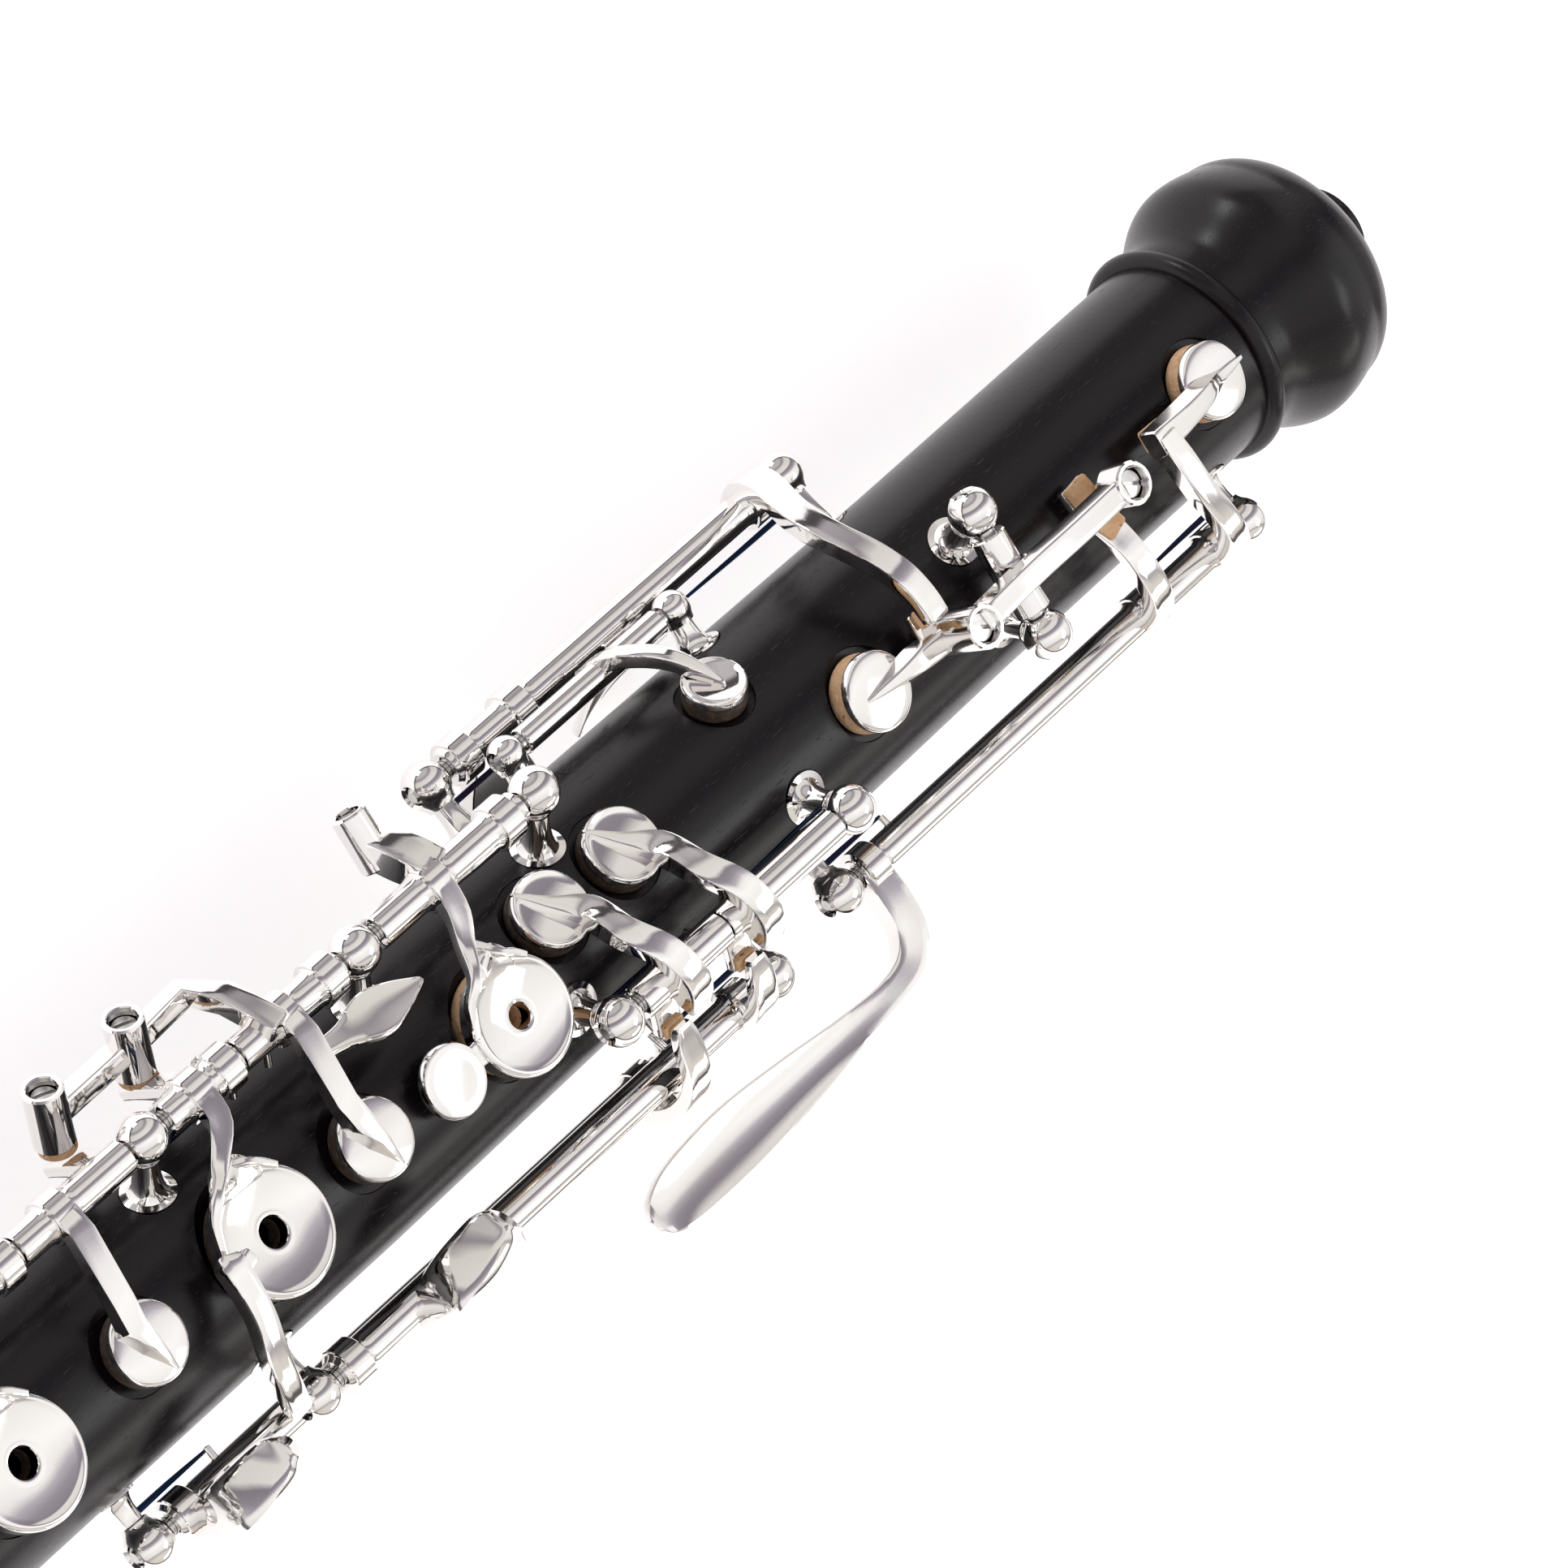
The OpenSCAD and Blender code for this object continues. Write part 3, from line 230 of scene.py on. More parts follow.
class Wire:  # a socket that reads as a number in shader maths
    def __init__(self, tree, socket):
        self.tree, self.socket = tree, socket

    def maths(self, kind, left, right=None):
        node = self.tree.nodes.new("ShaderNodeMath")
        node.operation = kind
        for place, value in zip(node.inputs, (left, right)):
            if isinstance(value, Wire):
                self.tree.links.new(value.socket, place)
            elif value is not None:
                place.default_value = value
        return Wire(self.tree, node.outputs[0])

    def __add__(self, other):
        return self.maths("ADD", self, other)

    def __sub__(self, other):
        return self.maths("SUBTRACT", self, other)

    def __rsub__(self, other):
        return self.maths("SUBTRACT", other, self)

    def __mul__(self, other):
        return self.maths("MULTIPLY", self, other)

    __radd__, __rmul__ = __add__, __mul__


class Shading:
    def __init__(self, owner):
        owner.use_nodes = True
        self.owner, self.tree = owner, owner.node_tree

    def add(self, kind, settings=None, inputs=None, output=0):
        node = self.tree.nodes.new(kind)
        for name, value in (settings or {}).items():
            if name == "stops":
                ramp = node.color_ramp
                while len(ramp.elements) < len(value):
                    ramp.elements.new(0.5)
                for element, (at, colour) in zip(ramp.elements, value):
                    element.position, element.color = at, (*colour, 1)
            else:
                setattr(node, name, value)
        for name, value in (inputs or {}).items():
            self.put(node.inputs[name], value)
        return Wire(self.tree, node.outputs[output])

    def put(self, socket, value):
        if isinstance(value, Wire):
            self.tree.links.new(value.socket, socket)
        else:
            socket.default_value = value

    def where(self, stretch=(1, 1, 1)):  # the surface's own place, stretched so that grain runs along it
        here = self.add("ShaderNodeTexCoord", output="Object")
        return self.add("ShaderNodeVectorMath", {"operation": "MULTIPLY"}, {0: here, 1: stretch})

    def noise(self, at, scale, detail=3.0, roughness=0.55):
        return self.add("ShaderNodeTexNoise", None,
                        {"Vector": at, "Scale": scale, "Detail": detail, "Roughness": roughness})

    def between(self, value, low, high, start=0.0, end=1.0):
        return self.add("ShaderNodeMapRange", {"clamp": True},
                        {"Value": value, "From Min": low, "From Max": high, "To Min": start, "To Max": end})

    def mix(self, share, first, second):
        return self.add("ShaderNodeMix", {"data_type": "RGBA"},
                        {0: share, 6: first if isinstance(first, Wire) else (*first, 1),
                         7: second if isinstance(second, Wire) else (*second, 1)}, output=2)

    def bump(self, height, strength, distance):
        return self.add("ShaderNodeBump", None, {"Strength": strength, "Distance": distance,
                                                 "Height": height})


class Finish(Shading):
    def __init__(self, name):
        super().__init__(bpy.data.materials.new(name))
        self.material = self.owner
        self.shader = next(n for n in self.tree.nodes if n.type == "BSDF_PRINCIPLED")

    def set(self, **values):
        for name, value in values.items():
            label = {"coat": "Coat Weight", "coatRoughness": "Coat Roughness", "colour": "Base Color",
                     "specular": "Specular IOR Level"}.get(name, name.capitalize())
            self.put(self.shader.inputs[label], (*value, 1) if isinstance(value, tuple) else value)


def silverFinish():
    look = {"bright": (0.87, 0.855, 0.84), "handled": (0.78, 0.75, 0.71), "rough": 0.045, "smear": 0.06}
    f = Finish("silverPlate")
    cloud = f.between(f.noise(f.where(), 70.0), 0.42, 0.72)
    speck = f.between(f.noise(f.where(), 2600.0, 2.0), 0.55, 0.8)
    hairs = f.noise(f.where((0.25, 1, 1)), 5200.0, 2.0)
    f.set(colour=f.mix(cloud * 0.45 + speck * 0.12, look["bright"], look["handled"]), metallic=1.0,
          roughness=look["rough"] + cloud * look["smear"] + speck * 0.05,
          normal=f.bump(hairs, 0.05, 0.00002))
    return f.material


def grenadillaFinish():
    look = {"dark": (0.0042, 0.003, 0.0042), "streak": (0.0072, 0.005, 0.0062),
            "pore": (0.012, 0.0095, 0.0115),
            "rough": 0.27}
    f = Finish("grenadilla")
    grain = f.between(f.noise(f.where((0.05, 1, 1)), 900.0, 4.0), 0.38, 0.75)
    broad = f.between(f.noise(f.where((0.12, 1, 1)), 120.0, 3.0), 0.35, 0.75)
    pore = f.between(f.noise(f.where((0.1, 1, 1)), 5200.0, 1.0), 0.7, 0.76)
    fine = f.between(f.noise(f.where((0.1, 1, 1)), 8000.0, 1.0), 0.7, 0.78)
    holes = pore + fine * 0.5
    wood = f.mix(grain * 0.7 + broad * 0.3, look["dark"], look["streak"])
    f.set(colour=f.mix(f.between(holes, 0, 1), wood, look["pore"]), specular=0.3,
          roughness=look["rough"] + holes * 0.2,
          normal=f.bump(1 - holes, 0.35, 0.00005))
    return f.material


def corkFinish():
    look = {"tan": (0.6, 0.35, 0.18), "pale": (0.76, 0.52, 0.32), "pit": (0.2, 0.09, 0.04)}
    f = Finish("cork")
    cells = f.between(f.add("ShaderNodeTexVoronoi", None, {"Vector": f.where(), "Scale": 2600.0}), 0.1, 0.7)
    mottle = f.noise(f.where(), 900.0, 4.0)
    pits = f.between(f.noise(f.where(), 1500.0, 2.0), 0.64, 0.72)
    skin = f.mix(f.between(mottle, 0.3, 0.7), look["tan"], look["pale"])
    f.set(colour=f.mix(pits * 0.8, skin, look["pit"]), roughness=0.78 + cells * 0.12,
          normal=f.bump(cells - pits, 0.5, 0.0001))
    return f.material


def padFinish():
    look = {"skin": (0.035, 0.024, 0.019), "worn": (0.11, 0.062, 0.038)}
    f = Finish("padSkin")
    crease = f.noise(f.where(), 1800.0, 5.0)
    f.set(colour=f.mix(f.between(crease, 0.45, 0.75), look["skin"], look["worn"]),
          roughness=0.5 + crease * 0.2, normal=f.bump(crease, 0.4, 0.00008))
    return f.material


def steelFinish():
    look = {"steel": (0.62, 0.61, 0.6), "oiled": (0.36, 0.35, 0.34)}
    f = Finish("steel")
    lines = f.noise(f.where((1, 0.2, 0.2)), 3800.0, 2.0)
    grime = f.between(f.noise(f.where(), 420.0), 0.45, 0.7)
    f.set(colour=f.mix(grime * 0.7, look["steel"], look["oiled"]), metallic=1.0,
          roughness=0.16 + lines * 0.16, normal=f.bump(lines, 0.15, 0.00003))
    return f.material


def blueFinish():
    look = {"blue": (0.008, 0.026, 0.062), "violet": (0.02, 0.016, 0.04)}
    f = Finish("bluedSteel")
    heat = f.between(f.noise(f.where((0.4, 1, 1)), 260.0), 0.35, 0.7)
    f.set(colour=f.mix(heat, look["blue"], look["violet"]), metallic=1.0, roughness=0.2 + heat * 0.12)
    return f.material


def brassFinish():
    look = {"brass": (0.62, 0.44, 0.2), "dull": (0.35, 0.24, 0.12)}
    f = Finish("brass")
    stain = f.between(f.noise(f.where(), 900.0), 0.4, 0.7)
    f.set(colour=f.mix(stain, look["brass"], look["dull"]), metallic=1.0, roughness=0.22 + stain * 0.2)
    return f.material


silver, grenadilla, cork = silverFinish(), grenadillaFinish(), corkFinish()
padSkin, steel, bluedSteel, brass = padFinish(), steelFinish(), blueFinish(), brassFinish()
padFinishes = {"cork": cork, "pad_skin": padSkin}
print("finishes ready")

# the wooden body

wood = {"topR": 10.27, "lowR": 11.29, "taper": (62, 150), "lowerTopR": 12.1, "lowerEndR": 12.6,
        "bellNeckR": 13,
        "bellMouthR": 20, "upperEnd": 232, "lowerEnd": 486, "bellEnd": 600, "upperTenon": 18,
        "lowerTenon": 16,
        "wellR": 3.45, "wellDepth": 21, "boreStartR": 2.1, "boreEndR": 8}

# seats: (distance, angle, hole radius, pad radius)
seats = {"side": (30.9, 1.4, 1.9, 3.8), "rocker": (81.8, -0.8, 1.9, 3.8), "third": (93.5, 49.3, 1.9, 3.1),
         "upperTrill": (113.1, 23.1, 1.9, 3.8), "lowerTrill": (123, 23.2, 2, 3.8),
         "half": (132.7, 0.7, 1.3, 5),
         "c": (151.7, 2.8, 2, 3.8), "a": (165.1, 2.7, 2.2, 5.4), "bFlat": (180.9, 3.2, 2.2, 3.8),
         "g": (197, 1.4, 2.4, 5.4), "gSharp": (214, -2, 2.2, 4.2),
         "fSharp": (272, 0, 2.6, 5.6), "vent": (287, 0, 2, 3.8), "e": (306, 0, 2.8, 5.6),
         "d": (336, 0, 3, 5.6),
         "f": (338, -72, 2.6, 4), "eFlat": (370, -18, 3.2, 4.8), "cSharp": (400, 8, 3.6, 6),
         "lowC": (430, 8, 4.2, 6.2), "lowB": (462, -35, 4.6, 6.4), "bell": (520, -50, 5, 6.6)}


def bellR(a):
    return wood["bellNeckR"] + (wood["bellMouthR"] - wood["bellNeckR"]) * max(0, (a - 512) / 88) ** 2.2


def woodR(a):
    if a < wood["upperEnd"]:
        low, high = wood["taper"]
        return wood["topR"] + (wood["lowR"] - wood["topR"]) * min(1, max(0, (a - low) / (high - low)))
    if a < wood["lowerEnd"]:
        return wood["lowerTopR"] + (wood["lowerEndR"] - wood["lowerTopR"]) * max(0, (a - 262) / 224)
    return bellR(a)


def boreR(a):
    share = (a - wood["wellDepth"]) / (wood["lowerEnd"] - wood["wellDepth"])
    return wood["boreStartR"] + (wood["boreEndR"] - 0.1) * share * 0.747


def seatHeight(seat):  # flat ring of wood that a closed pad rests on
    return sqrt(woodR(seat[0]) ** 2 - (seat[3] + 0.6) ** 2) - 0.05


def padTop(seat, thick):
    return seatHeight(seat) + 0.08 + thick


def alongProfile(points):  # (distance, radius) to (radius, height)
    return [(r, a) for a, r in points]


def filled(points, gap=2.0):  # adds points along long straight runs, so that light runs over them evenly
    made = [points[0]]
    for (a0, r0), (a1, r1) in zip(points, points[1:]):
        count = max(1, int(abs(a1 - a0) / gap))
        made += [(a0 + (a1 - a0) * k / count, r0 + (r1 - r0) * k / count) for k in range(1, count + 1)]
    return made


def seatCuts(names):
    made = []
    for name in names:
        a, angle, hole, padR = seats[name]
        at, floor = seatMatrix(a, angle), seatHeight(seats[name])
        rim = padR + 0.6
        made.append(turned([(0, 2), (hole, 2), (hole, floor - 0.35), (hole + 0.35, floor), (rim - 0.1, floor),
                            (rim, floor + 0.1), (rim, floor + 12), (0, floor + 12)], at, 64))
    return made


finial = [(0, 4.1), (0.12, 4.3), (0.35, 4.42), (3.4, 4.45), (3.85, 4.6), (4.15, 5), (4.3, 5.5)]
finial += [(4.4 + 5.2 * (1 - cos(radians(t))), 6 + 6.8 * sin(radians(t))) for t in range(0, 91, 5)]
finial += [(9.6 + 3.8 * u / 8, 12.8 + 0.65 * sin(pi / 2 * u / 8)) for u in range(1, 9)]
finial += [(13.4 + 7.1 * u / 12, 10.6 + 2.85 * (0.5 + 0.5 * cos(pi * u / 12))) for u in range(1, 13)]
finial += [(21.8, 10.4)]
finial += [(23 - 1.1 * cos(radians(t)), 10.35 + 1.15 * sin(radians(t))) for t in range(0, 181, 15)]

postLines = {"side": "side_octave_key", "thumb": "thumb_octave_key", "third": "third_octave_key",
             "main": "a_key",
             "trill": "upper_trill_key", "leverA": "upper_trill_lever", "leverB": "lower_trill_lever",
             "gSharp": "g_sharp_key", "right": "e_key", "f": "f_key", "eFlat": "e_flat_key",
             "lowC": "low_c_key",
             "lowB": "low_b_key", "bell": "low_b_flat_key"}


def hingeLine(body):  # angle and radius of a body's hinge, from its joint in the frame
    at = next(j["pos_m"] for j in frame["joints"] if j["child"] == body)
    return degrees(atan2(at[1], at[2])), hypot(at[1], at[2]) / mm


lines = {name: hingeLine(body) for name, body in postLines.items()}
upperPosts = {"side": (32.1, 92.9), "thumb": (66.8, 116.9), "main": (117.8, 141.9, 169.4, 208),
              "trill": (93, 125.5),
              "leverA": (105, 167), "leverB": (114.6, 186), "gSharp": (205, 228)}
smallPosts = {"third": (87.8, 111)}
lowerPosts = {"right": (262, 296, 350), "f": (312, 350), "eFlat": (356, 382), "lowC": (384, 412, 443.6),
              "lowB": (270, 477.6), "bell": (273, 478.6)}
bellPosts = {"bell": (506, 534)}
axle = {"a": 63.8, "z": 14, "ballY": 7, "ballYright": -6.4}


def postPlaces(groups):
    return [(a, *lines[name]) for name, row in groups.items() for a in row]


axlePosts = [(axle["a"], 26.57, 15.65), (axle["a"], -24.57, 15.39)]


def postCuts(places):
    made = []
    for a, angle, _ in places:
        r = woodR(a)
        made.append(turned([(0, r - 1), (2.62, r - 1), (2.62, r + 5), (0, r + 5)],
                           seatMatrix(a, angle, sqrt(r * r - 2.6 ** 2) - r + 0.95), 40))
    return made


def upperJoint():
    end, tip = wood["upperEnd"], wood["upperEnd"] + wood["upperTenon"]
    outside = filled(finial + [(24.6, wood["topR"]), (62, wood["topR"]), (150, wood["lowR"]),
                               (end - 0.4, wood["lowR"]), (end, wood["lowR"] - 0.4), (end, 9), (end + 1.2, 9),
                               (end + 1.2, 8), (tip - 2, 8), (tip - 2, 9), (tip - 0.3, 9), (tip, 8.7)])
    well = wood["wellDepth"]
    inside = [(tip, boreR(tip)), (well, boreR(well)), (well, wood["wellR"]), (0.4, wood["wellR"]),
              (0, wood["wellR"] + 0.4)]
    shape = turned(alongProfile(outside + inside), lineMatrix((0, 0)), 160)
    names = [n for n in seats if seats[n][0] < end]
    cuts = seatCuts(names) + postCuts(postPlaces(upperPosts) + postPlaces(smallPosts) + axlePosts)
    place(fuse("upperJointWood", [shape], cuts, sharp=28), "instrument", grenadilla, "grenadilla",
          ["upper_joint"])


def lowerJoint():
    start, end = wood["upperEnd"], wood["lowerEnd"]
    tip = end + wood["lowerTenon"]
    swell = [(start + 18 + 8.5 * u / 8, 12.1 + 1.7 * (0.5 + 0.5 * cos(pi * u / 8))) for u in range(9)]
    outside = filled([(start + 4.1, 13.5), (start + 4.2, 13.6)] + swell + [
        (262, wood["lowerTopR"]), (end - 4, woodR(end - 4)), (end - 3.4, 13.15), (end - 3.1, 13.3),
        (end - 1.7, 13.3), (end - 1.4, 13.15), (end - 0.8, 12.7), (end, 12.7), (end, 10.3), (end + 1.2, 10.3),
        (end + 1.2, 9.4), (tip - 2, 9.4), (tip - 2, 10.3), (tip - 0.3, 10.3), (tip, 10)])
    floor = start + wood["upperTenon"] + 1
    inside = [(tip, boreR(tip)), (floor, boreR(floor)), (floor, 9.2), (start + 4.1, 9.2)]
    shape = turned(alongProfile(outside + inside), lineMatrix((0, 0)), 160)
    names = [n for n in seats if start < seats[n][0] < end]
    cuts = seatCuts(names) + postCuts(postPlaces(lowerPosts))
    cuts.append(box(Matrix.Translation((-rest["a"], 0, rest["z"] - 3)),
                    (rest["length"] + 0.2, rest["width"] + 0.2, 6)))
    place(fuse("lowerJointWood", [shape], cuts, sharp=28), "instrument", grenadilla, "grenadilla",
          ["lower_joint"])


def bellWood():
    start, end = wood["lowerEnd"], wood["bellEnd"]
    mouth, floor = wood["bellMouthR"], wood["lowerEnd"] + wood["lowerTenon"] + 1
    flare = [(a, bellR(a)) for a in range(512, 597, 4)]
    rim = [(597 + 1.2 * sin(radians(t)), mouth - 0.35 + 0.35 * sin(radians(t))) for t in range(0, 91, 30)]
    lip = [(598.8 + 1.2 * sin(radians(t)), mouth - 1.2 + 1.2 * cos(radians(t))) for t in range(15, 91, 15)]
    outside = filled([(start + 3.1, 13.9), (start + 14, 13.9), (start + 14.3, 14.3), (start + 15, 14.5),
                      (start + 16.5, 14.5), (start + 17.2, 14), (start + 17.5, 13)] + flare + rim + lip)
    hollow = [(end - (end - floor) * u / 20, 8.1 + (mouth - 10.6) * (1 - u / 20) ** 1.8) for u in range(21)]
    inside = [(end, mouth - 2.3)] + [(a, min(r, mouth - 2.5)) for a, r in hollow] + [(floor, 10.5),
                                                                                     (start + 3.1, 10.5)]
    shape = turned(alongProfile(outside + inside), lineMatrix((0, 0)), 160)
    place(fuse("bellWood", [shape], seatCuts(["bell"]) + postCuts(postPlaces(bellPosts)), sharp=28),
          "instrument", grenadilla, "grenadilla", ["bell"])


rest = {"a": 300, "z": -11.2, "length": 26, "width": 9, "plate": 1.6, "screws": (-9, 9)}


def fittings():
    start, foot = wood["upperEnd"], wood["lowerEnd"]
    for name, node, at, inner, outer, deep in (("socketRing", "socket_ring", start, 9.22, 14.3, 4),
                                               ("bellRing", "bell_ring", foot, 10.52, 14.5, 3)):
        bead = [(at + deep / 2 - deep * 0.48 * cos(radians(t)), outer - 0.75 + 0.75 * sin(radians(t)))
                for t in range(0, 181, 15)]
        shape = turned(alongProfile([(at + 0.1, inner)] + bead + [(at + deep, inner)]), lineMatrix((0, 0)),
                       128)
        place(fuse(name, [shape]), "instrument", silver, "silver", [node])
    for node, finish in (("upper_tenon_cork", cork), ("lower_tenon_cork", cork), ("octave_vents", brass)):
        frame["nodes"][node].data.materials.clear()
        frame["nodes"][node].data.materials.append(finish)


upperJoint()
lowerJoint()
bellWood()
fittings()
print("wood and rings made")

# posts, rods and needle springs

post = {"ballR": 2.33, "smallBallR": 1.8, "neckR": 1.15, "flangeR": 2.5, "boreR": 0.98, "rodR": 0.9}


def postSolid(a, angle, r, ballR, across=False):
    surface = woodR(a)
    foot = sqrt(surface ** 2 - 2.6 ** 2) - 0.03
    neckR, flangeR = post["neckR"], post["flangeR"]
    collarAt = r - sqrt(ballR ** 2 - (neckR + 0.35) ** 2)
    rise = max(0.6, collarAt - foot - 1)
    flare = [(flangeR - (flangeR - neckR) * sin(radians(t)) ** 0.6,
              foot + 0.35 + rise * (1 - cos(radians(t))))
             for t in range(0, 91, 15)]
    start = asin((neckR + 0.35) / ballR)
    ball = [(ballR * sin(start + (pi - start) * k / 24), r - ballR * cos(start + (pi - start) * k / 24))
            for k in range(25)]
    collar = [(neckR, collarAt - 0.55), (neckR + 0.3, collarAt - 0.45), (neckR + 0.35, collarAt - 0.2)]
    neckTop = [p for p in flare if p[1] < collarAt - 0.6]
    profile = [(0, foot - 0.4), (flangeR - 0.1, foot - 0.4), (flangeR, foot)] + neckTop + collar + ball[1:-1]
    body = turned(profile + [(0, r + ballR)], seatMatrix(a, angle), 40)
    turn = seatMatrix(a, angle, r) @ Matrix.Rotation(radians(angle) if across else 0, 4, "X")
    turn = turn @ Matrix.Rotation(pi / 2, 4, "X" if across else "Y")
    dip = post["boreR"] + 0.3
    bore = turned([(0, -4), (dip + 2, -4), (dip, -ballR * 0.86), (post["boreR"], -ballR * 0.86 + 0.3),
                   (post["boreR"], ballR * 0.86 - 0.3), (dip, ballR * 0.86), (dip + 2, 4), (0, 4)], turn, 32)
    return body, bore


def postGroup(name, node, places, smallPlaces=(), across=()):
    bodies, bores = [], []
    for rows, ballR, sideways in ((places, post["ballR"], False), (smallPlaces, post["smallBallR"], False),
                                  (across, post["ballR"], True)):
        for a, angle, r in rows:
            body, bore = postSolid(a, angle, r, ballR, sideways)
            bodies.append(body)
            bores.append(bore)
    place(fuse(name, bodies, bores), "instrument", silver, "silver", [node])


def rodSolid(matrix, length):  # slotted head at the near end, plain point at the far one
    r = post["rodR"]
    body = turned([(0, 0), (r * 0.55, 0), (r, 0.35), (r, length - 0.4), (r * 0.6, length), (0, length)],
                  matrix, 24)
    slot = box(matrix @ Matrix.Translation((0, 0, 0.1)), (0.34, 3, 0.9))
    return body, slot


def rodGroup(name, node, groups, axles=()):
    made = [rodSolid(lineMatrix(lines[line]) @ Matrix.Translation((0, 0, row[0] - 1.9)),
                     row[-1] - row[0] + 3.8)
            for line, row in groups]
    made += [rodSolid(*one) for one in axles]
    place(fuse(name, [b for b, _ in made], [s for _, s in made]), "instrument", steel, "steel", [node])


# needles: (post, tip, line); each bears on a peg under its key's tube
needles = [(92.9, 84, "side"), (32.1, 44, "side"), (66.8, 84, "thumb"), (116.9, 98, "thumb"),
           (93, 105, "trill"),
           (125.5, 113, "trill"), (117.8, 130, "main"), (141.9, 154, "main"), (169.4, 158, "main"),
           (208, 193, "main"), (105, 118, "leverA"), (186, 176, "leverB"), (228, 215, "gSharp"),
           (262, 276, "right"), (296, 310, "right"), (350, 336, "right"), (350, 332, "f"),
           (356, 368, "eFlat"),
           (384, 396, "lowC"), (443.6, 428, "lowC"), (477.6, 460, "lowB"), (478.6, 462, "bell"),
           (506, 518, "bell")]


def springGroup():
    made = []
    for start, tip, line in needles:
        way = 1 if tip > start else -1
        angle, height = lines[line][0], lines[line][1] - 2.75
        made.append(bar([[start + way * 1.1, angle, height, 0.6, 0.6, angle],
                         [(start + tip) / 2, angle, height, 0.52, 0.52, angle],
                         [tip, angle, height + 0.1, 0.3, 0.3, angle]], steps=4, corner=0.3))
    place(fuse("needleSprings", made), "instrument", bluedSteel, "blued_steel", ["needle_springs"])


postGroup("upperPosts", "upper_posts", postPlaces(upperPosts), postPlaces(smallPosts), axlePosts)
postGroup("lowerPosts", "lower_posts", postPlaces(lowerPosts) + postPlaces(bellPosts))
axleEnd = Matrix.Translation((-axle["a"], 8.9, axle["z"])) @ Matrix.Rotation(pi / 2, 4, "X")
rodGroup("upperRods", "upper_rods", [("side", (32.1, 92.9)), ("thumb", (66.8, 116.9)),
                                     ("third", (88.6, 110.2)),
                                     ("main", (117.8, 208)), ("trill", (93, 125.5)), ("leverA", (105, 167)),
                                     ("leverB", (114.6, 186)), ("gSharp", (205, 228))], [(axleEnd, 17.3)])
rodGroup("lowerRods", "lower_rods", [("right", (262, 350)), ("f", (312, 350)), ("eFlat", (356, 382)),
                                     ("lowC", (384, 443.6)), ("lowB", (270, 477.6)), ("bell", (273, 478.6)),
                                     ("bell", (506, 534))])
springGroup()
print("posts, rods and springs made")

# key parts

key = {"tubeR": 1.7, "boreR": 0.95, "hubR": 2.3, "hubWidth": 2.4, "openAngle": 4.5, "catchR": 0.42}


def tubeSolids(line, span, hubs, r):
    a0, a1 = span
    profile = [(r - 0.12, a0), (r, a0 + 0.12)]
    half, rise = key["hubWidth"] / 2, key["hubR"] - key["tubeR"]
    for a in sorted(hubs):  # each hub swells out of the tube with a small fillet on both sides
        left = [(r + rise * 0.45 * (1 - cos(radians(t))),
                 a - half - 0.9 + 0.9 * sin(radians(t))) for t in (0, 30, 60, 90)]
        right = [(p, 2 * a - at) for p, at in reversed(left)]
        crest = [(r + rise - 0.1, a - half), (r + rise, a - half + 0.12), (r + rise, a + half - 0.12),
                 (r + rise - 0.1, a + half)]
        profile += [p for p in left + crest + right if a0 + 0.12 < p[1] < a1 - 0.12]
    profile += [(r, a1 - 0.12), (r - 0.12, a1), (key["boreR"], a1), (key["boreR"], a0)]
    return turned(profile, lineMatrix(line), 48)


def cupSolid(seat, height, thick, dished=False):
    r = seat[3] - 0.05
    profile = [(0, 0), (r - 0.15, 0), (r, 0.15), (r, thick * 0.55)]
    if dished:
        profile += [(r - 0.25 + 0.25 * cos(radians(t)), thick * (0.55 + 0.35 * sin(radians(t))))
                    for t in (30, 60, 90)]
        profile += [(r - 0.42, thick * 0.84)]
        profile += [((r - 0.6) * k / 8, thick * (0.6 + 0.14 * (k / 8) ** 2)) for k in range(8, -1, -1)]
    else:
        profile += [(r - 0.07, thick * 0.72), (r - 0.24, thick * 0.82)]
        profile += [((r - 0.24) * sin(radians(t)) / sin(radians(75)),
                     thick * (0.735 + 0.33 * cos(radians(t))))
                    for t in range(70, -1, -10)]
    return turned(profile, seatMatrix(seat[0], seat[1], height), 72)


def plateSolid(seat, height, hole, thick):
    r, rim = seat[3] + 0.45, 0.5
    edge = [(r - rim + rim * cos(radians(t)), thick - rim + rim * sin(radians(t))) for t in range(0, 91, 15)]
    inner = hole if hole > 0 else 0
    reach = r - rim - 0.25
    dish = [(inner + (reach - inner) * k / 10, thick - 0.62 + 0.5 * (k / 10) ** 2) for k in range(10, -1, -1)]
    profile = [(inner, 0), (r - 0.2, 0), (r, 0.2)] + edge + [(reach + 0.12, thick - 0.05)] + dish
    if hole > 0:
        profile[-1:] = [(hole + 0.3, thick - 0.6), (hole + 0.08, thick - 0.66), (hole, thick - 0.78)]
    return turned(profile, seatMatrix(seat[0], seat[1], height), 96)


def padSolid(seat, thick, hole):
    r, floor = seat[3] - 0.12, seatHeight(seat) + 0.08
    edge = [(r - 0.3 + 0.3 * cos(radians(t)), floor + 0.3 + 0.3 * sin(radians(t))) for t in range(-90, 1, 15)]
    profile = [(hole, floor)] + edge + [(r, floor + thick), (hole, floor + thick)]
    return turned(profile, seatMatrix(seat[0], seat[1]), 64)


